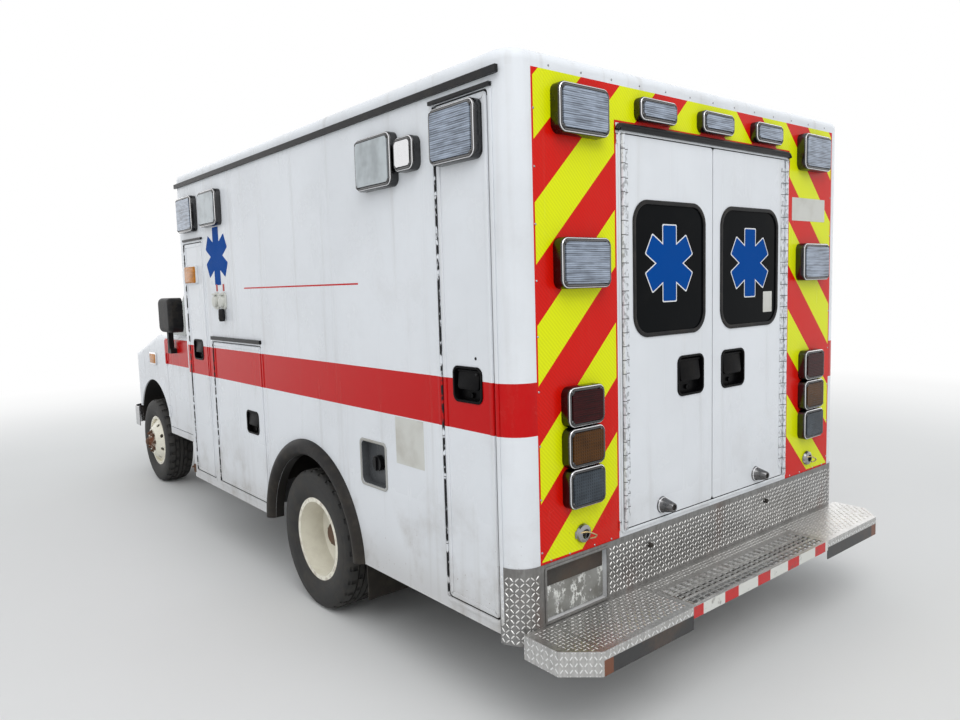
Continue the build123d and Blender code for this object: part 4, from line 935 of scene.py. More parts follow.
class Shape:
    """One closed shape in its own axes: across, up and outwards."""

    strip = 0.0004

    def __init__(self) -> None:
        """Starts an empty shape."""
        self.mesh = bmesh.new()
        self.last: bmesh.types.BMFace | None = None

    @classmethod
    def slab(cls, width: float, height: float, depth: float, radius: float, steps: int = 5) -> "Shape":
        """A flat slab with round corners, standing on the plane.

        Args:
            width: size across.
            height: size upwards.
            depth: thickness outwards.
            radius: corner radius.
            steps: points in each corner.

        Returns:
            The slab.
        """
        shape = cls.disc(radius, depth, sides=4 * steps, turn=math.pi / (4 * steps))
        for vert in shape.mesh.verts:
            vert.co.x += math.copysign(width / 2 - radius, vert.co.x)
            vert.co.y += math.copysign(height / 2 - radius, vert.co.y)
        return shape

    @classmethod
    def disc(
        cls, radius: float, depth: float, top: float | None = None, sides: int = 24, turn: float = 0.0
    ) -> "Shape":
        """A round bar or cone, standing on the plane.

        Args:
            radius: radius at the foot.
            depth: height outwards.
            top: radius at the top, if it differs.
            sides: faces round it.
            turn: turn about the outward axis, in radians.

        Returns:
            The bar.
        """
        shape = cls()
        bmesh.ops.create_cone(
            shape.mesh, cap_ends=True, segments=sides, radius1=radius, radius2=radius if top is None else top,
            depth=depth, matrix=Matrix.Rotation(turn, 4, "Z") @ Matrix.Translation((0, 0, depth / 2)),
        )
        return shape

    @classmethod
    def turned(cls, profile: Sequence[Pair], steps: int = 32, loop: bool = False) -> "Shape":
        """A profile turned about the outward axis.

        Args:
            profile: radius and height of each point; a first or last radius of 0 closes that end.
            steps: faces round it.
            loop: whether the profile's last point joins its first.

        Returns:
            The turned shape.
        """
        shape = cls()
        verts = [shape.mesh.verts.new((radius, 0, height)) for radius, height in profile]
        ends = verts[1:] + (verts[:1] if loop else [])
        edges = [shape.mesh.edges.new(pair) for pair in zip(verts, ends)]
        bmesh.ops.spin(
            shape.mesh, geom=verts + edges, cent=(0, 0, 0), axis=(0, 0, 1), angle=2 * math.pi, steps=steps,
            use_merge=True,
        )
        bmesh.ops.remove_doubles(shape.mesh, verts=shape.mesh.verts[:], dist=1e-6)
        return shape.outward()

    @classmethod
    def ring(
        cls, width: float, height: float, depth: float, radius: float, band: float, steps: int = 6
    ) -> "Shape":
        """A flat frame with round corners.

        Args:
            width: outer size across.
            height: outer size upwards.
            depth: thickness outwards.
            radius: outer corner radius.
            band: width of the frame's bars.
            steps: points in each corner.

        Returns:
            The frame.
        """
        shape = cls.slab(width, height, depth, radius, steps)
        caps = [face for face in shape.mesh.faces if len(face.verts) > 4]
        for cap in caps:
            bmesh.ops.inset_region(shape.mesh, faces=[cap], thickness=band, use_even_offset=True)
        loops = [list(cap.edges) for cap in caps]
        bmesh.ops.delete(shape.mesh, geom=caps, context="FACES_ONLY")
        bmesh.ops.bridge_loops(shape.mesh, edges=loops[0] + loops[1])
        return shape.outward()

    def outward(self) -> "Shape":
        """Turns every face outwards."""
        bmesh.ops.recalc_face_normals(self.mesh, faces=self.mesh.faces[:])
        return self

    def soften(self, size: float, segments: int = 2, limit: float = 0.7) -> "Shape":
        """Rounds every sharp edge.

        Args:
            size: width of the rounding.
            segments: faces across it.
            limit: angle in radians above which an edge is sharp.

        Returns:
            This shape.
        """
        sharp = [e for e in self.mesh.edges if len(e.link_faces) == 2 and e.calc_face_angle(0) > limit]
        bmesh.ops.bevel(
            self.mesh, geom=sharp, offset=size, offset_type="OFFSET", segments=segments, profile=0.5,
            affect="EDGES", material=-1, clamp_overlap=True,
        )
        return self

    def cap(self) -> bmesh.types.BMFace:
        """The face furthest outwards."""
        return max(self.mesh.faces, key=lambda f: (round(f.calc_center_median().z, 5), f.calc_area()))

    def step(self, inset: float, rise: float, finish: int = 0, again: bool = False) -> "Shape":
        """Insets the outermost face and moves it outwards or inwards.

        Args:
            inset: how far its edge moves in.
            rise: how far it moves outwards.
            finish: number of the finish that the moved face and its walls get.
            again: whether to go on from the face that the last step moved.

        Returns:
            This shape.
        """
        cap = self.last if again else self.cap()
        bmesh.ops.inset_region(self.mesh, faces=[cap], thickness=inset, use_even_offset=True)
        walls = bmesh.ops.inset_region(
            self.mesh, faces=[cap], thickness=self.strip, use_even_offset=True
        )["faces"]
        bmesh.ops.translate(self.mesh, verts=cap.verts[:], vec=(0, 0, rise))
        for face in (*walls, cap):
            face.material_index = finish
        self.last = cap
        return self

    def paint(self, finish: int) -> "Shape":
        """Gives every face of the shape one finish.

        Args:
            finish: the finish's number.

        Returns:
            This shape.
        """
        for face in self.mesh.faces:
            face.material_index = finish
        return self

    def move(self, matrix: Matrix) -> None:
        """Moves the shape, keeping its faces outwards.

        Args:
            matrix: the move.
        """
        bmesh.ops.transform(self.mesh, matrix=matrix, verts=self.mesh.verts[:])
        if matrix.determinant() < 0:
            bmesh.ops.reverse_faces(self.mesh, faces=self.mesh.faces[:])


def ride(name: str, data: bpy.types.ID, body: str) -> bpy.types.Object:
    """Makes the object of a piece.

    Args:
        name: the piece's name.
        data: its mesh or curve.
        body: what it rides on.

    Returns:
        The object.
    """
    made = bpy.data.objects.new(name, data)
    bpy.context.scene.collection.objects.link(made)
    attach(made, body)
    LOG.info("%s: on %s", name, body)
    return made


@dataclass
class Piece:
    """A piece of the vehicle, joined from shapes, that rides on a body."""

    name: str
    body: str
    finishes: Sequence[Finish]
    slot: str
    smooth: float = 0.6
    mesh: bmesh.types.BMesh = field(default_factory=bmesh.new)

    def add(self, shape: Shape, place: Matrix) -> None:
        """Joins a shape to the piece.

        Args:
            shape: the shape, which is used up.
            place: where it goes.
        """
        shape.move(place)
        bare = bpy.data.meshes.new("shape")
        shape.mesh.to_mesh(bare)
        shape.mesh.free()
        self.mesh.from_mesh(bare)
        bpy.data.meshes.remove(bare)

    def close(self, *replaces: str) -> None:
        """Makes the piece's object.

        Args:
            replaces: CAD nodes that it stands for.
        """
        mesh = bpy.data.meshes.new(self.name)
        self.mesh.to_mesh(mesh)
        self.mesh.free()
        for finish in self.finishes:
            mesh.materials.append(finish.material())
        mesh.shade_smooth()
        mesh.set_sharp_from_angle(angle=self.smooth)
        made = ride(self.name, mesh, self.body)
        if replaces:
            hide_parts(*replaces)


def wire(
    name: str, points: Sequence[Triple], radius: float, finish: Finish
) -> None:
    """A round bar on the chassis along a smooth line.

    Args:
        name: the piece's name.
        points: control points of the line.
        radius: the bar's radius.
        finish: its finish.
    """
    curve = bpy.data.curves.new(name, "CURVE")
    curve.dimensions = "3D"
    curve.bevel_depth = radius
    curve.bevel_resolution = 3
    curve.use_fill_caps = True
    spline = curve.splines.new("NURBS")
    spline.points.add(len(points) - 1)
    for point, place in zip(spline.points, points):
        point.co = (*place, 1.0)
    spline.order_u = 3
    spline.use_endpoint_u = True
    curve.materials.append(finish.material())
    ride(name, curve, "chassis")


def islands(node: str) -> list[tuple[Vector, Vector]]:
    """The corners of each separate solid in a CAD node.

    Args:
        node: the node's name.

    Returns:
        Lowest and highest corner of each.
    """
    mesh = bmesh.new()
    mesh.from_mesh(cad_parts[node].data)
    bmesh.ops.remove_doubles(mesh, verts=mesh.verts[:], dist=1e-5)
    left, found = set(mesh.verts), []
    while left:
        seed = left.pop()
        group, edge = [seed], [seed]
        while edge:
            for link in edge.pop().link_edges:
                for vert in link.verts:
                    if vert in left:
                        left.remove(vert)
                        group.append(vert)
                        edge.append(vert)
        corners = (
            Vector([pick(vert.co[axis] for vert in group) for axis in range(3)]) for pick in (min, max)
        )
        found.append(tuple(corners))
    mesh.free()
    return sorted(found, key=lambda pair: tuple(round(c, 3) for c in pair[0]))


@dataclass
class CadPaint:
    """The finish of every CAD node that stays."""

    table: tuple[tuple[Finish, tuple[str, ...]], ...] = (
        (SIDE_PAINT, (
            "module_side_walls", "left_front_locker_door", "left_middle_locker_door", "left_rear_locker_door",
            "right_front_locker_door", "side_entry_door", "right_rear_locker_door",
        )),
        (PLAIN_PAINT, ("module_front_wall",)),
        (REAR_PAINT, ("module_rear_frame",)),
        (REAR_DOOR_PAINT, ("rear_left_door", "rear_right_door")),
        (ROOF_PAINT, ("module_roof",)),
        (CAB_PAINT, ("front_panels", "cab_body", "hood", "left_cab_door", "right_cab_door")),
        (LINING, ("module_floor", "patient_furniture")),
        (ALUMINIUM, ("lockers",)),
        (PLATE, ("kick_panel",)),
        (STEP_PLATE, ("rear_step",)),
        (GRATING, ("step_grating",)),
        (BLACK_RUBBER, ("wheel_flares", "cab_boot", "left_mirror", "right_mirror")),
        (DRIP_TRIM, ("drip_rails",)),
        (GRILLE_BRIGHT, ("grille",)),
        (BUMPER_BRIGHT, ("front_bumper",)),
        (CLEAR_RIBBED, ("headlamps",)),
        (DARK_GLASS, ("side_entry_window", "rear_left_window", "rear_right_window")),
        (CAB_GLASS, ("left_cab_window", "right_cab_window", "windscreen")),
        (FRAME_STEEL, ("left_knuckle", "right_knuckle", "frame_rails", "rear_axle", "front_beams")),
        (RUSTY_STEEL, ("tank_and_exhaust",)),
        (ENGINE_IRON, ("engine",)),
        (DASH, ("cab_floor", "dashboard")),
        (WheelPaint("rear_wheel_paint"), ("rear_left_wheels", "rear_right_wheels")),
        (WheelPaint("front_wheel_paint", FRONT_AXLE, 0.08), ("front_left_wheel", "front_right_wheel")),
    )

    def apply(self) -> None:
        """Gives each node its finish."""
        for finish, names in self.table:
            for name in names:
                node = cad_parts[name]
                if not node.material_slots:
                    node.data.materials.append(None)
                for place in node.material_slots:
                    place.material = finish.material()
                LOG.info("%s: %s", name, finish.name)


@dataclass
class WarningLights:
    """The scene lights round the module: plated housings with moulded lenses."""

    bezel: float = 0.014
    dip: float = 0.006
    lens_rise: float = 0.004
    corner: float = 0.034
    screw: float = 0.0100
    rim: float = 0.009
    # Range of upward facing in which strips of the rounded rim get the bright plating: a painted highlight
    painted_glint: Pair = (0.7, 0.92)
    frosted_along: Pair = (-0.15, 2.2)
    hooded_along: Pair = (2.14, 2.31)
    finishes: tuple[Finish, ...] = (MID_BRIGHT, SHADE_BRIGHT, CLEAR_RIBBED, CLEAR_FROSTED, BRIGHT)
    tail_finishes: tuple[Finish, ...] = (DARK_BRIGHT, SHADE_BRIGHT, RED_LENS, AMBER_LENS, BRIGHT, WHITE_LENS)
    amber_top: float = 1.1
    white_top: float = 0.95

    def housing(self, width: float, height: float, depth: float, lens: int) -> Shape:
        """One lamp.

        Args:
            width: size across.
            height: size upwards.
            depth: how far it stands out.
            lens: number of the lens's finish.

        Returns:
            The lamp's shape.
        """
        shaded, bright = self.finishes.index(SHADE_BRIGHT), self.finishes.index(BRIGHT)
        radius = min(self.corner, height / 3.2)
        # Painted shade: the housing's walls take the darkest plating and its face a lighter one
        lamp = Shape.slab(width, height, depth - self.lens_rise, radius, 6).paint(shaded)
        rim = lamp.cap().edges[:]
        lamp.cap().material_index = 0
        lamp.step(self.bezel, -self.dip, shaded)
        lamp.step(0.003, self.dip + self.lens_rise, lens, again=True)
        # The rim is rounded; strips that face partly upwards get the bright plating as a painted highlight,
        # and the rest the darkest plating as painted shade
        rounded = bmesh.ops.bevel(
            lamp.mesh, geom=rim, offset=self.rim, offset_type="OFFSET", segments=4, profile=0.5,
            affect="EDGES", material=-1, clamp_overlap=True,
        )["faces"]
        for strip in rounded:
            strip.normal_update()
            strip.material_index = bright if self.painted_glint[0] < strip.normal.z < self.painted_glint[1] else shaded
        return lamp

    def mount(self, piece: Piece, side: Face, low: Vector, high: Vector, lens: int) -> None:
        """Puts a lamp and its screws where the CAD has one.

        Args:
            piece: the piece that it joins.
            side: the side that it is on.
            low: lowest corner of the CAD lamp.
            high: highest corner of the CAD lamp.
            lens: number of the lens's finish.
        """
        middle, size = (low + high) / 2, high - low
        rear = side is Face.REAR
        width, depth, along = (size.x, size.y, middle.x) if rear else (size.y, size.x, middle.y)
        place = side.place(along, middle.z)
        piece.add(self.housing(width, size.z, depth, lens), place)
        inset = self.bezel + self.screw * 0.75
        for u in (-1, 1):
            for v in (-1, 1):
                spot = Matrix.Translation((u * (width / 2 - inset), v * (size.z / 2 - inset), depth - 0.0032))
                boss = Shape.disc(self.screw, 0.0025, self.screw * 0.8, 16).paint(1)
                piece.add(boss, place @ spot)
                piece.add(Shape.disc(self.screw * 0.42, 0.0032, self.screw * 0.36, 10), place @ spot)

    def build(self) -> None:
        """Builds every light."""
        lenses = (CLEAR_RIBBED, CLEAR_FROSTED, BRIGHT)
        ribbed, frosted, bright = (self.finishes.index(lens) for lens in lenses)
        lights = Piece("scene_lights", "chassis", self.finishes, "lamp")
        for low, high in islands("warning_lights"):
            side, lens = Face.of(1 if high.x > 0 else -1), ribbed
            if high.y > REAR + 0.02:
                side = Face.REAR
            elif low.y > self.hooded_along[0] and high.y < self.hooded_along[1]:
                lens = bright
            elif low.y > self.frosted_along[0] and high.y < self.frosted_along[1]:
                lens = frosted
            self.mount(lights, side, low, high, lens)
        lights.close("warning_lights")
        for hand, name in SIDES:
            node = f"{name}_locker_lamp"
            lamp = Piece(f"{name}_locker_light", f"{name}_rear_locker_door", self.finishes, "lamp")
            self.mount(lamp, Face.of(hand), *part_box(node), ribbed)
            lamp.close(node)
        self.tails()

    def tails(self) -> None:
        """Builds the stacks of tail lamps: red over amber over white."""
        red, amber, white = (self.tail_finishes.index(lens) for lens in (RED_LENS, AMBER_LENS, WHITE_LENS))
        tails = Piece("tail_lights", "chassis", self.tail_finishes, "tail_lamp")
        for low, high in islands("tail_lamps"):
            lens = red if low.z > self.amber_top else amber if low.z > self.white_top else white
            self.mount(tails, Face.REAR, low, high, lens)
        tails.close("tail_lamps")


@dataclass
class Tyres:
    """Tyres with shoulder blocks and grooves round the tread."""

    radius: float = 0.372
    bead: float = 0.206
    steps: int = 84
    groove: float = 0.009
    slot_rim: float = 0.0032
    slot_depth: float = 0.007
    shoulder: Pair = (0.056, 0.104)
    shoulder_drop: float = 0.022
    rib: Pair = (0.022, 0.045)
    rib_drop: float = 0.006

    def shape(self) -> Shape:
        """Makes a tyre about its own axle, from a profile of distances from its middle and radii.

        Returns:
            The tyre.
        """
        crown, floor = self.radius, self.radius - self.groove
        half = [
            (0.0, crown), (0.013, crown), (0.013, floor), (0.021, floor), (0.021, crown),
            (0.046, crown - 0.001), (0.046, floor), (0.055, floor), (0.055, crown - 0.001),
            (0.086, crown - 0.003), (0.100, crown - 0.012), (0.108, crown - 0.030),
            (0.1125, crown - 0.062), (0.1118, 0.286), (0.106, 0.256), (0.098, 0.234),
            (0.092, 0.222), (0.084, 0.213), (0.080, self.bead),
        ]
        profile = half + [(-out, radius) for out, radius in reversed(half) if out > 0]
        tyre = Shape.turned([(radius, out) for out, radius in profile], self.steps, loop=True)
        self.cut_blocks(tyre)
        return tyre

    def cut_blocks(self, tyre: Shape) -> None:
        """Sinks a slot in every third face of the shoulders, and sipes in the ribs beside the middle.

        Args:
            tyre: the turned tyre.
        """
        slots = []
        for tread in tyre.mesh.faces:
            middle = tread.calc_center_median()
            out, drop = abs(middle.z), self.radius - middle.xy.length
            turn = int((math.atan2(middle.y, middle.x) / (2 * math.pi) % 1) * self.steps)
            outer = self.shoulder[0] < out < self.shoulder[1] and drop < self.shoulder_drop
            inner = self.rib[0] < out < self.rib[1] and drop < self.rib_drop
            if (outer and turn % 3 == 0) or (inner and turn % 3 == 1):
                slots.append(tread)
        bmesh.ops.inset_individual(tyre.mesh, faces=slots, thickness=self.slot_rim, depth=0.0)
        for slot in slots:
            middle = slot.calc_center_median()
            inward = Vector((middle.x, middle.y, 0)).normalized() * -self.slot_depth
            bmesh.ops.translate(tyre.mesh, verts=slot.verts[:], vec=inward)

    def tyres(self, name: str, node: str, body: str, y: float, rubber: Finish) -> None:
        """Builds the tyres that stand for one CAD node.

        Args:
            name: the piece's name.
            node: the CAD node.
            body: what they ride on.
            y: the axle's place along the vehicle.
            rubber: their finish.
        """
        piece = Piece(name, body, (rubber,), "tyre", 0.8)
        turn = Matrix.Rotation(math.pi / 2, 4, "Y")
        for low, high in islands(node):
            axle = Matrix.Translation(((low.x + high.x) / 2, y, AXLE_HEIGHT)) @ turn
            piece.add(self.shape(), axle)
        piece.close(node)

    def build(self) -> None:
        """Builds all six tyres."""
        rear, front = TyreRubber("rear_tyre_rubber"), TyreRubber("front_tyre_rubber", FRONT_AXLE)
        for _, name in SIDES:
            self.tyres(f"{name}_rear_tyres", f"rear_{name}_tyres", f"{name}_rear_wheel_pair", REAR_AXLE, rear)
            self.tyres(f"{name}_front_tyre", f"front_{name}_tyre", f"{name}_front_wheel", FRONT_AXLE, front)


@dataclass
class WheelFittings:
    """Nuts on both hubs, the rear axle's flanges and the front hub caps."""

    nuts: int = 8
    pitch_radius: float = 0.086
    nut: float = 0.0135
    flange_radius: float = 0.056
    rear_face: float = 0.9565
    front_face: float = 1.019
    hub_end: float = 1.056
    hub: Profile = (
        (0.0, 0.142), (0.034, 0.142), (0.046, 0.138), (0.050, 0.130), (0.062, 0.126), (0.066, 0.120),
        (0.066, 0.108), (0.056, 0.100), (0.052, 0.040), (0.072, 0.026), (0.072, 0.0), (0.0, 0.0),
    )
    cap: Profile = ((0.0, 0.020), (0.020, 0.018), (0.031, 0.008), (0.033, 0.0))

    def outward(self, hand: int, x: float, y: float) -> Matrix:
        """A placement on a wheel that looks out of its side."""
        return Matrix.Translation((hand * x, y, AXLE_HEIGHT)) @ Matrix.Rotation(hand * math.pi / 2, 4, "Y")

    def spread(self, place: Matrix, radius: float, height: float = 0.0, shift: float = 0.0) -> list[Matrix]:
        """Even places round a hub's face, turned on by a share of the gap between two."""
        gap, out = 2 * math.pi / self.nuts, Matrix.Translation((radius, 0, height))
        return [place @ Matrix.Rotation(gap * (index + shift), 4, "Z") @ out for index in range(self.nuts)]

    def nut_ring(self, piece: Piece, place: Matrix) -> None:
        """Adds nuts on their studs round a hub.

        Args:
            piece: the piece that they join.
            place: the hub's face.
        """
        for spot in self.spread(place, self.pitch_radius):
            piece.add(Shape.disc(self.nut * 1.25, 0.004, sides=20), spot)
            piece.add(Shape.disc(self.nut, 0.018, self.nut * 0.96, 6).soften(0.0015, 1), spot)
            piece.add(Shape.disc(0.007, 0.026, 0.006, 10), spot)

    def build(self) -> None:
        """Builds the fittings of all wheels."""
        steel = (RUSTY_STEEL,)
        for hand, name in SIDES:
            rear = Piece(f"{name}_rear_wheel_nuts", f"{name}_rear_wheel_pair", steel, "wheel_paint", 0.5)
            face = self.outward(hand, self.rear_face, REAR_AXLE)
            self.nut_ring(rear, face)
            rear.add(Shape.turned(self.hub, 40), face)
            for spot in self.spread(face, self.flange_radius, 0.124, 0.5):
                rear.add(Shape.disc(0.006, 0.007, 0.0055, 6), spot)
            rear.close()
            front = Piece(f"{name}_front_wheel_nuts", f"{name}_front_wheel", steel, "wheel_paint", 0.5)
            self.nut_ring(front, self.outward(hand, self.front_face, FRONT_AXLE))
            front.add(Shape.turned(self.cap, 32), self.outward(hand, self.hub_end, FRONT_AXLE))
            front.close()


@dataclass
class TreadPattern:
    """The raised bars of the tread plate."""

    pitch: float = 0.020
    length: float = 0.0106
    width: float = 0.0030
    rise: float = 0.0015
    plate: float = 0.003
    corner_radius: float = 0.100
    corner_columns: int = 8
    corner_rows: int = 13
    corner_foot: float = 0.374
    square: tuple[int, int] = (0, 90)
    slanted: tuple[int, int] = (-45, 45)
    kick: tuple[Pair, Pair] = ((-1.10, 1.10), (0.432, 0.648))
    recess: tuple[float, float, float, float] = (0.715, 1.09, 0.41, 0.65)
    step_spans: Profile = ((-1.06, -0.552), (0.552, 1.06), (1.06, 1.18), (-1.18, -1.06))
    step_depth: Pair = (2.826, 3.082)
    behind_grating: tuple[Pair, Pair] = ((-0.545, 0.545), (2.828, 2.895))
    cut_start: Pair = (1.072, 2.984)
    cut_size: Pair = (0.118, 0.106)
    cut_share: float = 0.88

    def bar(self, piece: Piece, place: Matrix, turn: float) -> None:
        """Adds one bar.

        Args:
            piece: the piece that it joins.
            place: the plate's plane at the bar's middle.
            turn: its angle in degrees.
        """
        spin = Matrix.Rotation(math.radians(turn), 4, "Z") @ Matrix.Diagonal((self.length, self.width, 1, 1))
        matrix = place @ spin @ Matrix.Translation((0, 0, self.rise / 2 - 0.0002))
        bmesh.ops.create_cone(
            piece.mesh, cap_ends=True, segments=6, radius1=1.0, radius2=0.5, depth=self.rise, matrix=matrix
        )

    def corner_spot(self, hand: int, turn: float, height: float) -> Matrix:
        """A placement on the plate where it wraps round a rear corner.

        Args:
            hand: 1 for the left corner, -1 for the right one.
            turn: angle from the long side towards the rear.
            height: world Z.

        Returns:
            The matrix.
        """
        up, outward = Vector((0, 0, 1)), Vector((hand * math.cos(turn), math.sin(turn), 0))
        axes = Matrix((up.cross(outward), up, outward)).transposed().to_4x4()
        centre = Vector((hand * (SIDE - self.corner_radius), REAR - self.corner_radius, height))
        return Matrix.Translation(centre + outward * (self.corner_radius + self.plate)) @ axes

    def on_step(self, x: float, y: float) -> bool:
        """Whether a bar fits inside the step's cut corners."""
        start, size = self.cut_start, self.cut_size
        return (abs(x) - start[0]) / size[0] + (y - start[1]) / size[1] < self.cut_share

    def patch(self, piece: Piece, side: Face, across: Pair, up: Pair) -> None:
        """Fills a rectangle of the kick panel or of the step with bars, turned one way and the other.

        Args:
            piece: the piece that they join.
            side: which way the plate looks.
            across: from and to, along the side.
            up: from and to, upwards, or along the vehicle on top.
        """
        left, right, foot, head = self.recess
        top = side is Face.TOP
        turns, out = (self.square, STEP_TOP) if top else (self.slanted[::-1], self.plate)
        for column in range(int((across[1] - across[0]) / self.pitch)):
            for row in range(int((up[1] - up[0]) / self.pitch)):
                u = across[0] + (column + 0.5) * self.pitch
                v = up[0] + (row + 0.5) * self.pitch
                if self.on_step(u, v) if top else not (left < u < right and foot < v < head):
                    self.bar(piece, side.place(u, v, out), turns[(column + row) % 2])

    def build(self) -> None:
        """Builds the bars on the kick panel, round its corners and on the step."""
        plate = Piece("kick_panel_bars", "chassis", (PLATE_HIGH,), "tread_plate", 0.4)
        self.patch(plate, Face.REAR, *self.kick)
        for hand, _ in SIDES:
            for column in range(self.corner_columns):
                for row in range(self.corner_rows):
                    turn = (column + 0.5) / self.corner_columns * math.pi / 2
                    spot = self.corner_spot(hand, turn, self.corner_foot + row * self.pitch)
                    self.bar(plate, spot, self.slanted[(column + row) % 2])
        plate.close()
        step = Piece("step_bars", "chassis", (PLATE_HIGH,), "tread_plate", 0.4)
        for span in self.step_spans:
            self.patch(step, Face.TOP, span, self.step_depth)
        self.patch(step, Face.TOP, *self.behind_grating)
        step.close()


@dataclass
class DoorFrames:
    """Raised extrusions round the doors of the module, black seals round the windows, and black bands in the
    door gaps: painted shade in the gaps, which round the rear doors also stands for their black gasket.
    """

    band: float = 0.020
    rise: float = 0.004
    # Depth of the black bands in the door gaps, which are painted shade
    seal: float = 0.040
    gap: float = 0.006
    hinge_gap: float = 0.014
    barrel: float = 0.0125
    corner: float = 0.018
    skin: float = 0.0012
    sunk: float = 0.0005
    rear_frame: Triple = (0.640, 0.668, 2.276)
    rear_opening: Triple = (0.624, 0.678, 2.266)
    rear_door: Pair = (0.003, 0.616)

    def side_door(self, walls: Piece, name: str, side: Face) -> None:
        """Builds the rim of one side door, with a black band of painted shade on its edge, and adds its
        surround and a band of painted shade round the opening to the walls'.

        Args:
            walls: the piece that the surround joins.
            name: the door.
            side: the side that it is on.
        """
        low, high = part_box(name)
        start = low.y + self.barrel
        middle, width, height = (start + high.y) / 2, high.y - start, high.z - low.z
        place = side.place(middle, (low.z + high.z) / 2, -self.sunk)
        inwards = Matrix.Translation((0, 0, -0.001 - self.seal))
        rim = Piece(f"{name}_rim", name, (MODULE_PAINT, BLACK_RUBBER), "door_paint")
        front = Shape.ring(width - 0.006, height - 0.006, self.rise, 0.016, self.band)
        rim.add(front.soften(0.0014, 2), place)
        # Painted shade: a black band round the door's edge, inside the gap
        edge = Shape.ring(width + 0.0006, height + 0.0006, self.seal, self.corner + 0.0003, self.skin, 4)
        rim.add(edge.paint(1), place @ inwards)
        rim.close()
        gap_width, gap_height = width + self.gap + self.hinge_gap, height + 2 * self.gap
        shift = (self.hinge_gap - self.gap) / 2 * -sum(side.value[1])
        opening = place @ Matrix.Translation((shift, 0, 0))
        surround = Shape.ring(gap_width + 0.042, gap_height + 0.042, self.rise - 0.0005, 0.034, 0.018)
        walls.add(surround.soften(0.0014, 2), opening)
        # Painted shade: a black band round the opening's edge, inside the gap
        lining = Shape.ring(gap_width + 0.001, gap_height + 0.001, self.seal, 0.012, self.skin, 4)
        walls.add(lining.paint(1), opening @ inwards)

    def window_seal(self, name: str, body: str, node: str, side: Face, radius: float) -> None:
        """Builds the seal round one window.

        Args:
            name: the piece's name.
            body: the door that it rides on.
            node: the window.
            side: the side that it is on.
            radius: outer corner radius.
        """
        low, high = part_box(node)
        middle, size = (low + high) / 2, high - low
        width, along = (size.x, middle.x) if side is Face.REAR else (size.y, middle.y)
        seal = Piece(name, body, (BLACK_RUBBER,), "black_rubber")
        ring = Shape.ring(width + 0.008, size.z + 0.008, 0.0055, radius, 0.018, 10).soften(0.0026, 3)
        seal.add(ring, side.place(along, middle.z, -self.sunk))
        seal.close()

    def rear_gaskets_and_gap_shade(self) -> None:
        """Builds the black bands in the gaps round and between the rear doors: painted shade in the gaps, and
        the doors' black gasket.
        """
        half, low, high = self.rear_opening
        lining = Piece("rear_opening_gasket_and_shade", "chassis", (BLACK_RUBBER,), "black_rubber")
        ring = Shape.ring(2 * half + 0.001, high - low + 0.001, self.seal, 0.004, 0.0016, 3)
        lining.add(ring, Face.REAR.place(0, (low + high) / 2, -0.0012 - self.seal))
        lining.close()
        inner, outer = self.rear_door
        for hand, name in SIDES:
            low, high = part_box(f"rear_{name}_door")
            edge = Piece(f"{name}_rear_door_gasket_and_shade", f"{name}_rear_door", (BLACK_RUBBER,), "black_rubber")
            ring = Shape.ring(outer - inner + 0.0006, high.z - low.z + 0.0006, 0.030, 0.004, 0.0014, 3)
            edge.add(ring, Face.REAR.place(hand * (inner + outer) / 2, (low.z + high.z) / 2, -0.034))
            edge.close()

    def build(self) -> None:
        """Builds the frames and the seals."""
        walls = Piece("door_surrounds", "chassis", (MODULE_PAINT, BLACK_RUBBER), "white_paint")
        for name, side, *_ in DOORS:
            if side is not Face.REAR:
                self.side_door(walls, name, side)
        walls.close()
        half, low, high = self.rear_frame
        rear = Piece("rear_door_surround", "chassis", (SEALANT,), "white_paint")
        ring = Shape.ring(2 * half, high - low, 0.005, 0.020, 0.012).soften(0.0014, 2)
        rear.add(ring, Face.REAR.place(0, (low + high) / 2, -self.sunk))
        rear.close()
        self.rear_gaskets_and_gap_shade()
        for _, name in SIDES:
            door, window = f"{name}_rear_door", f"rear_{name}_window"
            self.window_seal(f"{name}_window_seal", door, window, Face.REAR, 0.094)
        self.window_seal("entry_window_seal", "side_entry_door", "side_entry_window", Face.RIGHT, 0.084)


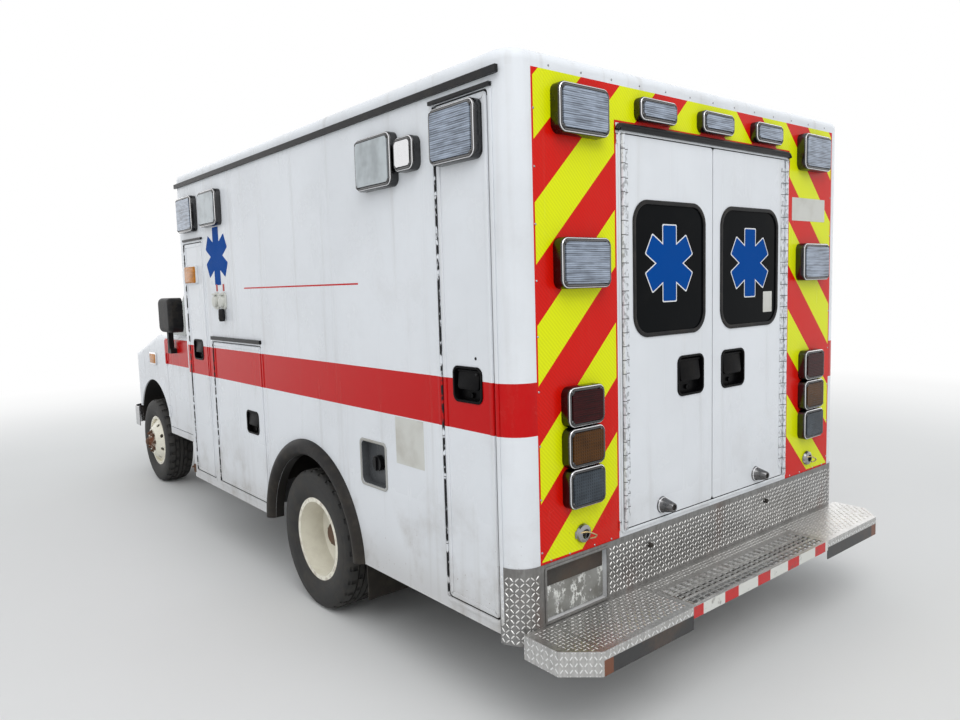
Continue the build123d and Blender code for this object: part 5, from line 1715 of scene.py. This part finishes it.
@dataclass
class Handles:
    """Paddle latches in their dishes, on every door of the module."""

    dish: tuple[float, float, float, float] = (0.168, 0.130, 0.026, 0.028)
    rear_dish: tuple[float, float, float, float] = (0.184, 0.168, 0.030, 0.028)

    def latch(self, width: float, height: float, radius: float, depth: float) -> list[tuple[Shape, Matrix]]:
        """The bezel, pan and paddle of one latch.

        Args:
            width: width of the dish.
            height: height of the dish.
            radius: the dish's corner radius.
            depth: the dish's depth.

        Returns:
            Each shape with its place on the door's plane.
        """
        bezel = Shape.ring(width + 0.010, height + 0.010, 0.005, radius + 0.005, 0.010, 8).soften(0.0016, 2)
        pan = Shape.slab(width - 0.002, height - 0.002, 0.002, radius - 0.001, 8)
        walls = Shape.ring(width - 0.0006, height - 0.0006, depth - 0.002, radius - 0.0003, 0.0012, 8)
        paddle = Shape.slab(width - 0.040, height * 0.56, 0.011, 0.016, 6).soften(0.003, 3)
        hinge = Shape.disc(0.006, width - 0.036, sides=16)
        lock = Shape.disc(0.011, 0.010, 0.010, 24).step(0.002, -0.001)
        across = Matrix.Rotation(math.pi / 2, 4, "Y")
        tilt = Matrix.Rotation(math.radians(-6), 4, "X")
        return [
            (bezel, Matrix.Translation((0, 0, -0.001))),
            (walls, Matrix.Translation((0, 0, 0.002 - depth))),
            (pan, Matrix.Translation((0, 0, 0.001 - depth))),
            (paddle, Matrix.Translation((0, height * 0.12, -0.014)) @ tilt),
            (hinge, Matrix.Translation((-(width - 0.036) / 2, height * 0.40, -0.010)) @ across),
            (lock, Matrix.Translation((0, -height * 0.33, -depth + 0.002))),
        ]

    def build(self) -> None:
        """Builds every latch."""
        for body, side, along, height in DOORS:
            sizes = self.rear_dish if side is Face.REAR else self.dish
            piece = Piece(f"{body}_latch", body, (GLOSS_BLACK,), "dark_trim")
            base = side.place(along, height)
            for shape, place in self.latch(*sizes):
                piece.add(shape, base @ place)
            piece.close()


@dataclass
class RearHardware:
    """Hold-open catches, studs, screws, the drip rail, the plate's recess and the blank labels."""

    cone_x: float = 0.37
    catch_x: float = 0.87
    stud_x: float = 0.46
    height: float = 0.727
    plate: Pair = (0.9025, 0.532)
    cone: Profile = (
        (0.0, 0.056), (0.012, 0.056), (0.012, 0.062), (0.0165, 0.064), (0.019, 0.060), (0.026, 0.034),
        (0.031, 0.010), (0.036, 0.004), (0.037, 0.0),
    )
    bead: Profile = (
        (0.0330, 0.0050), (0.0352, 0.0060), (0.0345, 0.0085), (0.0325, 0.0095), (0.0330, 0.0050),
    )
    ring: Profile = (
        (0.020, 0.0), (0.036, 0.0), (0.038, 0.004), (0.034, 0.014), (0.024, 0.020), (0.019, 0.020),
        (0.020, 0.0),
    )
    stud: Profile = ((0.0, 0.014), (0.008, 0.013), (0.011, 0.008), (0.011, 0.0))
    loop: tuple[Triple, ...] = (
        (0.030, 0.010, 0.006), (0.012, 0.030, 0.016), (-0.016, 0.038, 0.004), (-0.042, 0.036, -0.010),
        (-0.052, 0.028, -0.014), (-0.048, 0.022, -0.026), (-0.020, 0.020, -0.022),
    )
    drip: Profile = ((0.652, -0.020), (0.644, -0.004), (0.62, 0.0))
    drip_height: float = 2.292

    def cones(self) -> None:
        """Builds the plated cones on the doors."""
        for hand, name in SIDES:
            finishes = (MID_BRIGHT, BLACK_RUBBER, BRIGHT)
            door = Piece(f"{name}_hold_open_cone", f"{name}_rear_door", finishes, "chrome")
            place = Face.REAR.place(hand * self.cone_x, self.height + 0.006)
            door.add(Shape.turned(self.cone, 40), place)
            door.add(Shape.disc(0.0115, 0.0585).paint(1), place)
            door.add(Shape.turned(self.bead, 40).paint(2), place)
            door.close()

    def catches(self) -> None:
        """Builds the catches on the frame, with their wire loops, and the studs on the kick panel."""
        catch = Piece("hold_open_catches", "chassis", (RIM_BRIGHT, BLACK_RUBBER), "chrome")
        for hand, _ in SIDES:
            place = Face.REAR.place(hand * self.catch_x, self.height)
            catch.add(Shape.turned(self.ring, 32), place)
            catch.add(Shape.slab(0.085, 0.030, 0.004, 0.006).soften(0.001), place)
            catch.add(Shape.disc(0.018, 0.010, 0.012, 24).paint(1), place)
            catch.add(Shape.turned(self.stud, 20).paint(1), Face.REAR.place(hand * self.stud_x, 0.578, 0.003))
        catch.close()
        for hand, name in SIDES:
            x = -hand * self.catch_x
            points = [(x + across, REAR + out, self.height + up) for across, out, up in self.loop]
            wire(f"{name}_catch_wire", points, 0.0032, BRASS)

    def screws(self) -> None:
        """Builds the rows of screw heads."""
        heads = Piece("rear_screws", "chassis", (RIM_BRIGHT,), "chrome", 0.5)
        rows = [(x * 0.168, 2.455) for x in range(-6, 7)]
        rows += [(side * 1.086, 0.70 + 0.2 * index) for side in (-1, 1) for index in range(9)]
        rows += [(side * x, 0.662) for side in (-1, 1) for x in (0.70, 0.80, 0.94, 1.04)]
        for x, z in rows:
            heads.add(Shape.disc(0.0045, 0.002, 0.003, 10), Face.REAR.place(x, z))
        heads.close()
        posts = Piece("post_screws", "chassis", (BLACK_RUBBER,), "black_rubber", 0.5)
        for z in (1.42, 1.36):
            posts.add(Shape.disc(0.006, 0.003, 0.004, 12), Face.LEFT.place(2.60, z))
        posts.close()

    def plates(self) -> None:
        """Builds the blank plate backing, its frame, a dark strip of painted shadow across the top of its
        recess, and the blank labels.
        """
        plate = Piece("plate_backing", "chassis", (SCUFFED, RECESS_SHADOW_STEEL, BRIGHT, PLATE), "tread_plate")
        x, z = self.plate
        rim = Shape.ring(0.355, 0.220, 0.004, 0.012, 0.010).soften(0.001).paint(3)
        plate.add(rim, Face.REAR.place(x, z, 0.0025))
        plate.add(Shape.slab(0.334, 0.200, 0.003, 0.006, 3), Face.REAR.place(x, z, -0.0215))
        # Painted shadow: a dark strip across the top of the recess, under its lip
        plate.add(Shape.slab(0.322, 0.070, 0.004, 0.004, 3).paint(1), Face.REAR.place(x, z + 0.062, -0.0190))
        for shift in (-0.09, 0.09):
            screw = Shape.disc(0.006, 0.004, 0.005, 6).paint(2)
            plate.add(screw, Face.REAR.place(x + shift, z - 0.055, -0.0185))
        plate.close()
        labels = Piece("blank_labels", "chassis", (STICKER,), "white_paint")
        labels.add(Shape.slab(0.335, 0.115, 0.0006, 0.004, 3), Face.REAR.place(-0.857, 2.028))
        labels.add(Shape.slab(0.212, 0.206, 0.0006, 0.004, 3), Face.LEFT.place(2.139, 1.035))
        labels.close()
        window = Piece("window_label", "right_rear_door", (STICKER,), "white_paint")
        window.add(Shape.slab(0.080, 0.100, 0.0004, 0.004, 3), Face.REAR.place(-0.468, 1.572, -0.002))
        window.close()

    def drips(self) -> None:
        """Builds the round rail over the rear doors with its hooked ends."""
        half = [(x, REAR + 0.008, self.drip_height + up) for x, up in self.drip]
        points = [(-x, y, z) for x, y, z in half] + [(0.0, *half[-1][1:])] + half[::-1]
        wire("rear_door_drip", points, 0.009, DRIP_TRIM)

    def build(self) -> None:
        """Builds all of it."""
        self.cones()
        self.catches()
        self.screws()
        self.plates()
        self.drips()


@dataclass
class Emblems:
    """Plain six-armed blue emblems with a white edge, and nothing on them."""

    arm: float = 0.56
    side_size: float = 0.362
    window_size: float = 0.314
    edge: float = 0.0008
    spots: Profile = ((0.045, 1.92), (1.30, 1.70))
    window_spot: Pair = (0.31, 1.76)

    def star(self, size: float, depth: float, grow: float) -> Shape:
        """A six-armed shape with softened tips.

        Args:
            size: its height.
            depth: its thickness.
            grow: how much further out its edges are than the plain ones.

        Returns:
            The shape.
        """
        star, half = Shape(), size / 2
        bmesh.ops.create_circle(
            star.mesh, cap_ends=True, segments=6, radius=half * self.arm + 2 * grow,
            matrix=Matrix.Rotation(math.pi / 6, 4, "Z"),
        )
        for edge in star.mesh.edges[:]:
            middle = (edge.verts[0].co + edge.verts[1].co) / 2
            grown = bmesh.ops.extrude_edge_only(star.mesh, edges=[edge])["geom"]
            verts = [part for part in grown if isinstance(part, bmesh.types.BMVert)]
            step = middle.normalized() * (half + grow - middle.length)
            bmesh.ops.translate(star.mesh, verts=verts, vec=step)
        tips = [vert for vert in star.mesh.verts if vert.co.length > half * 0.8]
        bmesh.ops.bevel(
            star.mesh, geom=tips, offset=size * 0.022, offset_type="OFFSET", segments=3, profile=0.5,
            affect="VERTICES", material=-1,
        )
        star.outward()
        bmesh.ops.solidify(star.mesh, geom=star.mesh.faces[:], thickness=depth)
        bmesh.ops.translate(star.mesh, verts=star.mesh.verts[:], vec=(0, 0, depth / 2))
        return star.outward()

    def emblem(self, name: str, body: str, slot: str, size: float, rim: float, place: Matrix) -> None:
        """Builds one emblem: a blue star on a white one.

        Args:
            name: the piece's name.
            body: what it rides on.
            slot: a material slot's name, which the piece keeps and nothing reads.
            size: its height.
            rim: how much larger the white star is.
            place: where it goes.
        """
        piece = Piece(name, body, (EMBLEM_WHITE, BLUE), slot)
        piece.add(self.star(size, self.edge, rim), place)
        piece.add(self.star(size, 2 * self.edge, 0.0).paint(1), place)
        piece.close()

    def build(self) -> None:
        """Builds the emblems on the sides and on the rear windows."""
        for (hand, name), spot in zip(SIDES, self.spots):
            side, rear = Face.of(hand).place(*spot), f"{name}_rear_door"
            self.emblem(f"{name}_side_emblem", "chassis", "white_paint", self.side_size, 0.004, side)
            pane = Face.REAR.place(hand * self.window_spot[0], self.window_spot[1], -0.0022)
            self.emblem(f"{name}_window_emblem", rear, "dark_glass", self.window_size, 0.005, pane)


@dataclass
class SideFittings:
    """Power inlets, fuel filler trim and latch hook on the left side, and the marker lamps of both sides."""

    inlet_z: float = 1.640
    inlets: Pair = (0.020, 0.132)
    marker: Pair = (-0.410, 1.815)
    hook: Pair = (-0.62, 0.450)
    lid: Profile = (
        (0.0, 0.021), (0.018, 0.020), (0.033, 0.017), (0.036, 0.012), (0.036, 0.0), (0.0, 0.0),
    )
    plug: Profile = (
        (0.0, 0.0), (0.014, 0.002), (0.019, 0.012), (0.020, 0.060), (0.016, 0.078), (0.0, 0.080),
    )

    def power(self) -> None:
        """Builds the two shore power inlets with their tags, and the plug in one of them."""
        power = Piece("power_inlets", "chassis", (CREAM, BLACK_RUBBER, TAG_RED), "white_paint")
        for y in self.inlets:
            cover = Shape.slab(0.084, 0.106, 0.012, 0.030, 8).soften(0.003, 2)
            power.add(cover, Face.LEFT.place(y, self.inlet_z))
            power.add(Shape.turned(self.lid, 32), Face.LEFT.place(y, self.inlet_z - 0.004, 0.011))
            hinge = Shape.slab(0.060, 0.012, 0.020, 0.005, 4).soften(0.002)
            power.add(hinge, Face.LEFT.place(y, self.inlet_z + 0.042, 0.008))
            tag = Shape.slab(0.026, 0.044, 0.0012, 0.003, 3).paint(2)
            power.add(tag, Face.LEFT.place(y, self.inlet_z + 0.082))
        down = Matrix.Translation((SIDE + 0.022, self.inlets[1], 1.592)) @ Matrix.Rotation(math.pi, 4, "X")
        power.add(Shape.turned(self.plug, 24).paint(1), down)
        power.close()

    def markers(self) -> None:
        """Builds the amber marker on each front locker door."""
        for hand, name in SIDES:
            marker = Piece(f"{name}_marker", f"{name}_front_locker_door", (SEALANT, AMBER_MARKER), "lamp")
            lamp = Shape.slab(0.205, 0.122, 0.016, 0.020, 6).step(0.007, 0.010, 1)
            marker.add(lamp.soften(0.003, 2), Face.of(hand).place(*self.marker))
            marker.close()

    def filler(self) -> None:
        """Builds the trim round the fuel filler's dish."""
        trim = Piece("filler_trim", "chassis", (SCRATCHED,), "locker_sheet")
        trim.add(Shape.ring(0.230, 0.222, 0.004, 0.028, 0.012, 8).soften(0.0014), Face.LEFT.place(*FILLER))
        trim.close()

    def latch_hook(self) -> None:
        """Builds the small latch hook low at the module's front."""
        y, z = self.hook
        hook = Piece("hook_latch", "chassis", (RUSTY_STEEL,), "frame_steel")
        hook.add(Shape.slab(0.030, 0.060, 0.006, 0.006, 4).soften(0.001), Face.LEFT.place(y, z))
        hook.add(Shape.disc(0.009, 0.016, 0.007, 12), Face.LEFT.place(y, z + 0.012, 0.006))
        hook.close()

    def build(self) -> None:
        """Builds all of it."""
        self.power()
        self.markers()
        self.filler()
        self.latch_hook()


@dataclass
class CabTrim:
    """Door handles, mirror glass, wipers, fender lamps and the trim of the headlamps."""

    handle: Pair = (-1.02, 1.225)
    mirror_z: float = 1.522
    fender_lamp: Pair = (-2.265, 1.125)
    wipers_x: Pair = (-0.52, 0.12)
    wiper: tuple[Triple, ...] = (
        (0.0, -2.155, 1.368), (0.02, -2.130, 1.405), (0.30, -2.085, 1.430), (0.50, -2.080, 1.437),
    )
    lamp_x: tuple[float, ...] = (0.646, 0.704, 0.760, 0.816, 0.874)
    lamp_z: Pair = (0.826, 1.014)
    reach: float = 0.022

    def doors(self) -> None:
        """Builds the door handles and the mirror glass."""
        for hand, name in SIDES:
            trim = Piece(f"{name}_cab_handle", f"{name}_front_door", (GLOSS_BLACK, BRIGHT), "dark_trim")
            place = Face.of(hand).place(*self.handle, CAB_SIDE - SIDE)
            trim.add(Shape.slab(0.150, 0.060, 0.006, 0.020, 6).soften(0.002), place)
            grip = Shape.slab(0.120, 0.022, 0.020, 0.008, 5).soften(0.004, 3)
            trim.add(grip, place @ Matrix.Translation((0, 0.006, 0.004)))
            lock = Shape.disc(0.010, 0.006, 0.009, 20).paint(1)
            trim.add(lock, place @ Matrix.Translation((0, -0.018, 0.004)))
            trim.close()
            low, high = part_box(f"{name}_mirror")
            glass = Piece(f"{name}_mirror_glass", f"{name}_front_door", (MIRROR_GLASS,), "dark_trim")
            inner = Face.of(-hand)
            shift = Matrix.Translation((hand * (CAB_SIDE + 0.010) - inner.value[0][0], 0, 0))
            back = shift @ inner.place((low.y + high.y) / 2 + 0.02, self.mirror_z)
            glass.add(Shape.slab(0.250, 0.240, 0.003, 0.035, 7).soften(0.001), back)
            glass.close()

    def wipers(self) -> None:
        """Builds the two wipers on the cowl."""
        for index, x in enumerate(self.wipers_x):
            arm = [(x + across, y, z) for across, y, z in self.wiper]
            wire(f"wiper_arm_{index}", arm, 0.005, GLOSS_BLACK)

    def lamps(self) -> None:
        """Builds the fender lamps."""
        fender = Piece("fender_lamps", "chassis", (BRIGHT, AMBER_MARKER), "lamp")
        for hand, _ in SIDES:
            lamp = Shape.slab(0.185, 0.110, 0.010, 0.018, 6).step(0.014, 0.004, 1)
            fender.add(lamp.soften(0.003, 2), Face.of(hand).place(*self.fender_lamp, CAB_SIDE - SIDE))
        fender.close()

    def bezels(self) -> None:
        """Builds the dark trim round the headlamps, along their outlines."""
        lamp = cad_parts["headlamps"].data
        foot, head = self.lamp_z
        outline = [(x, foot) for x in self.lamp_x] + [(x, head) for x in self.lamp_x[::-1]]
        for hand, name in SIDES:
            points = []
            for x, z in outline + outline[:1]:
                near = [v.co for v in lamp.vertices if math.hypot(v.co.x - hand * x, v.co.z - z) < self.reach]
                if near:
                    points.append(tuple(min(near, key=lambda co: co.y)))
            wire(f"{name}_headlamp_trim", points, 0.0065, GLOSS_BLACK)

    def build(self) -> None:
        """Builds all of it."""
        self.doors()
        self.wipers()
        self.lamps()
        self.bezels()


@dataclass
class Pad:
    """A stuffed pad with a crowned face and sides that pull in between its corners."""

    name: str
    low: Triple
    high: Triple
    outward: Triple
    finish: Finish
    crown: float = 0.022
    lean: float = 0.0
    lean_about: Triple = (0, 0, 0)
    pull: float = 0.010
    tuck: float = 0.012

    def grid(self) -> bmesh.types.BMesh:
        """Cuts a box into even squares and shapes it.

        Returns:
            The pad's cage.
        """
        mesh = bmesh.new()
        size = Vector(self.high) - Vector(self.low)
        middle = (Vector(self.high) + Vector(self.low)) / 2
        place = Matrix.Translation(middle) @ Matrix.Diagonal((*size, 1))
        bmesh.ops.create_cube(mesh, size=1.0, matrix=place)
        bmesh.ops.subdivide_edges(mesh, edges=mesh.edges[:], cuts=7, use_grid_fill=True)
        for vert in mesh.verts:
            self.shape(vert, middle, size)
        if self.lean:
            turn = Matrix.Rotation(math.radians(self.lean), 3, "X")
            bmesh.ops.rotate(mesh, verts=mesh.verts[:], cent=self.lean_about, matrix=turn)
        return mesh

    def shape(self, vert: bmesh.types.BMVert, middle: Vector, size: Vector) -> None:
        """Moves one point of the cage.

        Args:
            vert: the point.
            middle: the pad's middle.
            size: the pad's size.
        """
        share = [2 * (vert.co[i] - middle[i]) / size[i] for i in range(3)]
        axis = max(range(3), key=lambda i: abs(self.outward[i]))
        across = [i for i in range(3) if i != axis]
        full = max(0.0, (1 - share[across[0]] ** 2) * (1 - share[across[1]] ** 2))
        front = max(share[axis] * self.outward[axis], 0)
        vert.co[axis] -= self.outward[axis] * self.crown * (1 - full ** 0.5) * front
        for i, j in (across, across[::-1]):
            vert.co[i] -= self.pull * (1 - share[j] ** 2) * share[i] * abs(share[i]) ** 3
            vert.co[i] -= self.tuck * share[i] * front * abs(share[i]) ** 6

    def build(self) -> bpy.types.Object:
        """Makes the pad's object, rounded by two levels of subdivision.

        Returns:
            The object.
        """
        cage = self.grid()
        mesh = bpy.data.meshes.new(self.name)
        cage.to_mesh(mesh)
        cage.free()
        mesh.materials.append(self.finish.material())
        mesh.shade_smooth()
        piece = ride(self.name, mesh, "chassis")
        surface = piece.modifiers.new("round", "SUBSURF")
        surface.levels = surface.render_levels = 2
        return piece


@dataclass
class Seats:
    """Cab seats and the bench in the patient compartment."""

    seat_front: float = -1.425
    recline: float = -8.0
    bench_y: Pair = (0.682, 2.358)

    def pads(self) -> list[Pad]:
        """Describes every pad.

        Returns:
            The pads.
        """
        made, y, (y0, y1) = [], self.seat_front, self.bench_y
        for hand, name in ((1, "driver"), (-1, "passenger")):
            x0, x1 = sorted((hand * 0.302, hand * 0.778))
            h0, h1 = sorted((hand * 0.442, hand * 0.638))
            made += [
                Pad(f"{name}_squab", (x0, y, 0.862), (x1, y + 0.46, 0.972), (0, 0, 1), SEAT_VINYL),
                Pad(
                    f"{name}_back", (x0 + 0.01, y + 0.452, 0.930), (x1 - 0.01, y + 0.548, 1.474), (0, -1, 0),
                    SEAT_VINYL, 0.024, self.recline, (0, y + 0.50, 0.93),
                ),
                Pad(
                    f"{name}_headrest", (h0, y + 0.506, 1.482), (h1, y + 0.570, 1.678), (0, -1, 0),
                    SEAT_VINYL, 0.014,
                ),
            ]
        return made + [
            Pad("bench_seat_pad", (-1.084, y0, 1.081), (-0.655, y1, 1.149), (0, 0, 1), BENCH_VINYL, 0.016),
            Pad("bench_back_pad", (-1.155, y0, 1.152), (-1.097, y1, 1.478), (1, 0, 0), BENCH_VINYL, 0.014),
        ]

    def build(self) -> None:
        """Builds every pad, in place of the plain solids."""
        for piece in [pad.build() for pad in self.pads()]:
            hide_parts("seat_cushions")


@dataclass
class Underbody:
    """Dampers and coil springs under the floor."""

    rear_damper: tuple[Triple, ...] = ((0.60, -0.075, 0.395), (0.445, -0.26, 0.570))
    front_damper: tuple[Triple, ...] = ((0.60, 0.07, 0.36), (0.455, 0.10, 0.62))
    beam_shift: float = 0.03
    spring_x: float = 0.545
    spring_shift: float = 0.032
    spring_z: Pair = (0.372, 0.600)
    spring_radius: float = 0.055
    turns: float = 5.5

    def damper(self, piece: Piece, foot: Vector, head: Vector) -> None:
        """Adds a damper between two points.

        Args:
            piece: the piece that it joins.
            foot: its lower eye.
            head: its upper eye.
        """
        run = head - foot
        place = Matrix.Translation(foot) @ run.to_track_quat("Z", "Y").to_matrix().to_4x4()
        body = ((0.0, 0.0), (0.014, 0.0), (0.024, 0.02))
        upper = ((0.024, 0.55), (0.028, 0.56), (0.028, 0.93), (0.012, 0.97), (0.012, 1.0), (0.0, 1.0))
        profile = [*body, *((radius, run.length * share) for radius, share in upper)]
        piece.add(Shape.turned(profile, 24), place)

    def coil(self, name: str, x: float, y: float) -> None:
        """A coil spring between a beam and the rail.

        Args:
            name: the piece's name.
            x: its axis, across.
            y: its axis, along.
        """
        low, high = self.spring_z
        steps = int(self.turns * 8)
        points = []
        for index in range(steps + 1):
            turn = index * math.pi / 4
            spot = (x + self.spring_radius * math.cos(turn), y + self.spring_radius * math.sin(turn))
            points.append((*spot, low + (high - low) * index / steps))
        wire(name, points, 0.0075, RUSTY_STEEL)

    def build(self) -> None:
        """Builds all of it."""
        dampers = Piece("dampers", "chassis", (RUSTY_STEEL,), "frame_steel")
        for hand, name in SIDES:
            rear = [Vector((hand * x, REAR_AXLE + y, z)) for x, y, z in self.rear_damper]
            front = [Vector((hand * x, FRONT_AXLE + y, z)) for x, y, z in self.front_damper]
            front[0].y += hand * self.beam_shift
            self.damper(dampers, *rear)
            self.damper(dampers, *front)
            self.coil(f"front_coil_{name}", hand * self.spring_x, FRONT_AXLE + hand * self.spring_shift)
        dampers.close()


@dataclass
class Interior:
    """Ceiling lights, grab rail and cupboard panes in the patient compartment."""

    rail: Profile = (
        (-0.45, 2.44), (-0.44, 2.385), (-0.36, 2.37), (0.9, 2.37), (2.26, 2.37), (2.34, 2.385), (2.35, 2.44),
    )
    lights_x: Pair = (-0.42, 0.42)
    lights_y: Triple = (0.0, 0.95, 1.90)
    pane_x: float = 0.828
    pane_rows: Pair = (1.709, 2.091)
    pane_start: float = 0.887
    pane_pitch: float = 0.4155
    panes: int = 4

    def build(self) -> None:
        """Builds all of it."""
        wire("ceiling_grab_rail", [(0.0, y, z) for y, z in self.rail], 0.014, BRIGHT)
        down = Matrix.Rotation(math.pi, 4, "X")
        lights = Piece("ceiling_lights", "chassis", (SEALANT, CLEAR_FROSTED), "lamp")
        for x in self.lights_x:
            for y in self.lights_y:
                lamp = Shape.disc(0.085, 0.016, 0.078, 40).step(0.012, 0.006, 1)
                lights.add(lamp, Matrix.Translation((x, y, WALL_TOP)) @ down)
        lights.close()
        inward = Matrix.Rotation(-math.pi / 2, 4, "Y") @ Matrix.Rotation(math.pi / 2, 4, "Z")
        doors = Piece("cupboard_panes", "chassis", (CAB_GLASS,), "clear_glass")
        for index in range(self.panes):
            for z in self.pane_rows:
                place = Matrix.Translation((self.pane_x, self.pane_start + self.pane_pitch * index, z))
                doors.add(Shape.slab(0.392, 0.376, 0.004, 0.004, 2), place @ inward)
        doors.close()


@dataclass
class Studio:
    """The pale floor, the soft light, the white background and the camera."""

    eye: Triple = (2.944, 4.750, 1.690)
    yaw: float = 219.289
    pitch: float = -5.685
    roll: float = -1.638
    lens: float = 28.074
    floor_fade: Pair = (4.5, 11.0)
    soft_light: float = 0.72

    def camera(self) -> None:
        """Places the camera where the photograph was taken from."""
        data = bpy.data.cameras.new("photo_camera")
        data.lens = self.lens
        data.sensor_width = 36.0
        data.sensor_fit = "HORIZONTAL"
        data.clip_end = 200
        yaw, pitch, roll = (math.radians(v) for v in (self.yaw, self.pitch, self.roll))
        ahead = Vector((math.cos(pitch) * math.sin(yaw), math.cos(pitch) * math.cos(yaw), math.sin(pitch)))
        level = ahead.cross(Vector((0, 0, 1))).normalized()
        upright = level.cross(ahead)
        across = level * math.cos(roll) + upright * math.sin(roll)
        up = upright * math.cos(roll) - level * math.sin(roll)
        turn = Matrix((across, up, -ahead)).transposed().to_4x4()
        camera = bpy.data.objects.new("photo_camera", data)
        camera.matrix_world = Matrix.Translation(self.eye) @ turn
        bpy.context.scene.collection.objects.link(camera)
        bpy.context.scene.camera = camera

    def floor(self) -> None:
        """Lays the floor, which fades to white far from the vehicle."""
        mesh = bmesh.new()
        bmesh.ops.create_grid(mesh, x_segments=1, y_segments=1, size=40)
        data = bpy.data.meshes.new("floor")
        mesh.to_mesh(data)
        mesh.free()
        sheet = FinishSheet("pale_floor")
        cloud = sheet.noise(0.6, detail=3).fade(0.3, 0.7) * 0.2
        tone = sheet.mix(cloud, (0.74, 0.74, 0.73), (0.68, 0.68, 0.67))
        away = (sheet.x * sheet.x + sheet.y * sheet.y).math("SQRT").fade(*self.floor_fade)
        white = sheet.add("ShaderNodeEmission", inputs={"Color": (1.0, 1.0, 1.0), "Strength": 1.0})
        parts = {0: away * sheet.seen(), 1: sheet.surface(tone, 0.9), 2: white}
        sheet.end(sheet.add("ShaderNodeMixShader", inputs=parts))
        data.materials.append(sheet.owner)
        floor = bpy.data.objects.new("floor", data)
        bpy.context.scene.collection.objects.link(floor)

    def world(self) -> None:
        """Makes the background white to the camera and in reflections, and dimmer as a light."""
        world = bpy.data.worlds.new("studio")
        bpy.context.scene.world = world
        sheet = NodeSheet(world)
        soft, plain = (
            sheet.add("ShaderNodeBackground", inputs={"Color": colour, "Strength": strength})
            for colour, strength in (((0.94, 0.97, 1.0), self.soft_light), ((1.0, 1.0, 1.0), 1.0))
        )
        blend = sheet.add("ShaderNodeMixShader", inputs={0: sheet.seen(), 1: soft, 2: plain})
        sheet.add("ShaderNodeOutputWorld", inputs={"Surface": blend})

    def lights(self) -> None:
        """Hangs the soft lights."""
        rows = (
            ("sky_panel", (3.0, 6.5, 7.5), 6.0, 300.0), ("left_panel", (8.5, -2.0, 5.0), 7.0, 70.0),
            ("right_panel", (-8.0, 1.5, 4.0), 7.0, 80.0), ("nose_panel", (0.5, -9.0, 4.0), 7.0, 90.0),
        )
        for name, spot, size, power in rows:
            data = bpy.data.lights.new(name, "AREA")
            data.shape = "SQUARE"
            data.size = size
            data.energy = power
            lamp = bpy.data.objects.new(name, data)
            aim = (Vector((0, 0, 1.2)) - Vector(spot)).to_track_quat("-Z", "Y")
            lamp.matrix_world = Matrix.Translation(spot) @ aim.to_matrix().to_4x4()
            bpy.context.scene.collection.objects.link(lamp)

    def build(self) -> None:
        """Sets the whole stage."""
        bpy.context.scene.view_settings.view_transform = "Standard"
        self.camera()
        self.floor()
        self.world()
        self.lights()


def main() -> None:
    """Builds the vehicle's pieces and the studio."""
    logging.basicConfig(level=logging.INFO, format="%(name)s %(message)s")
    Studio().build()
    CadPaint().apply()
    assemblies = (
        WarningLights(), Tyres(), WheelFittings(), TreadPattern(), DoorFrames(), Handles(), RearHardware(),
        Emblems(), SideFittings(), CabTrim(), Seats(), Underbody(), Interior(),
    )
    for assembly in assemblies:
        LOG.info("%s", type(assembly).__name__)
        assembly.build()


if __name__ == "__main__":
    main()
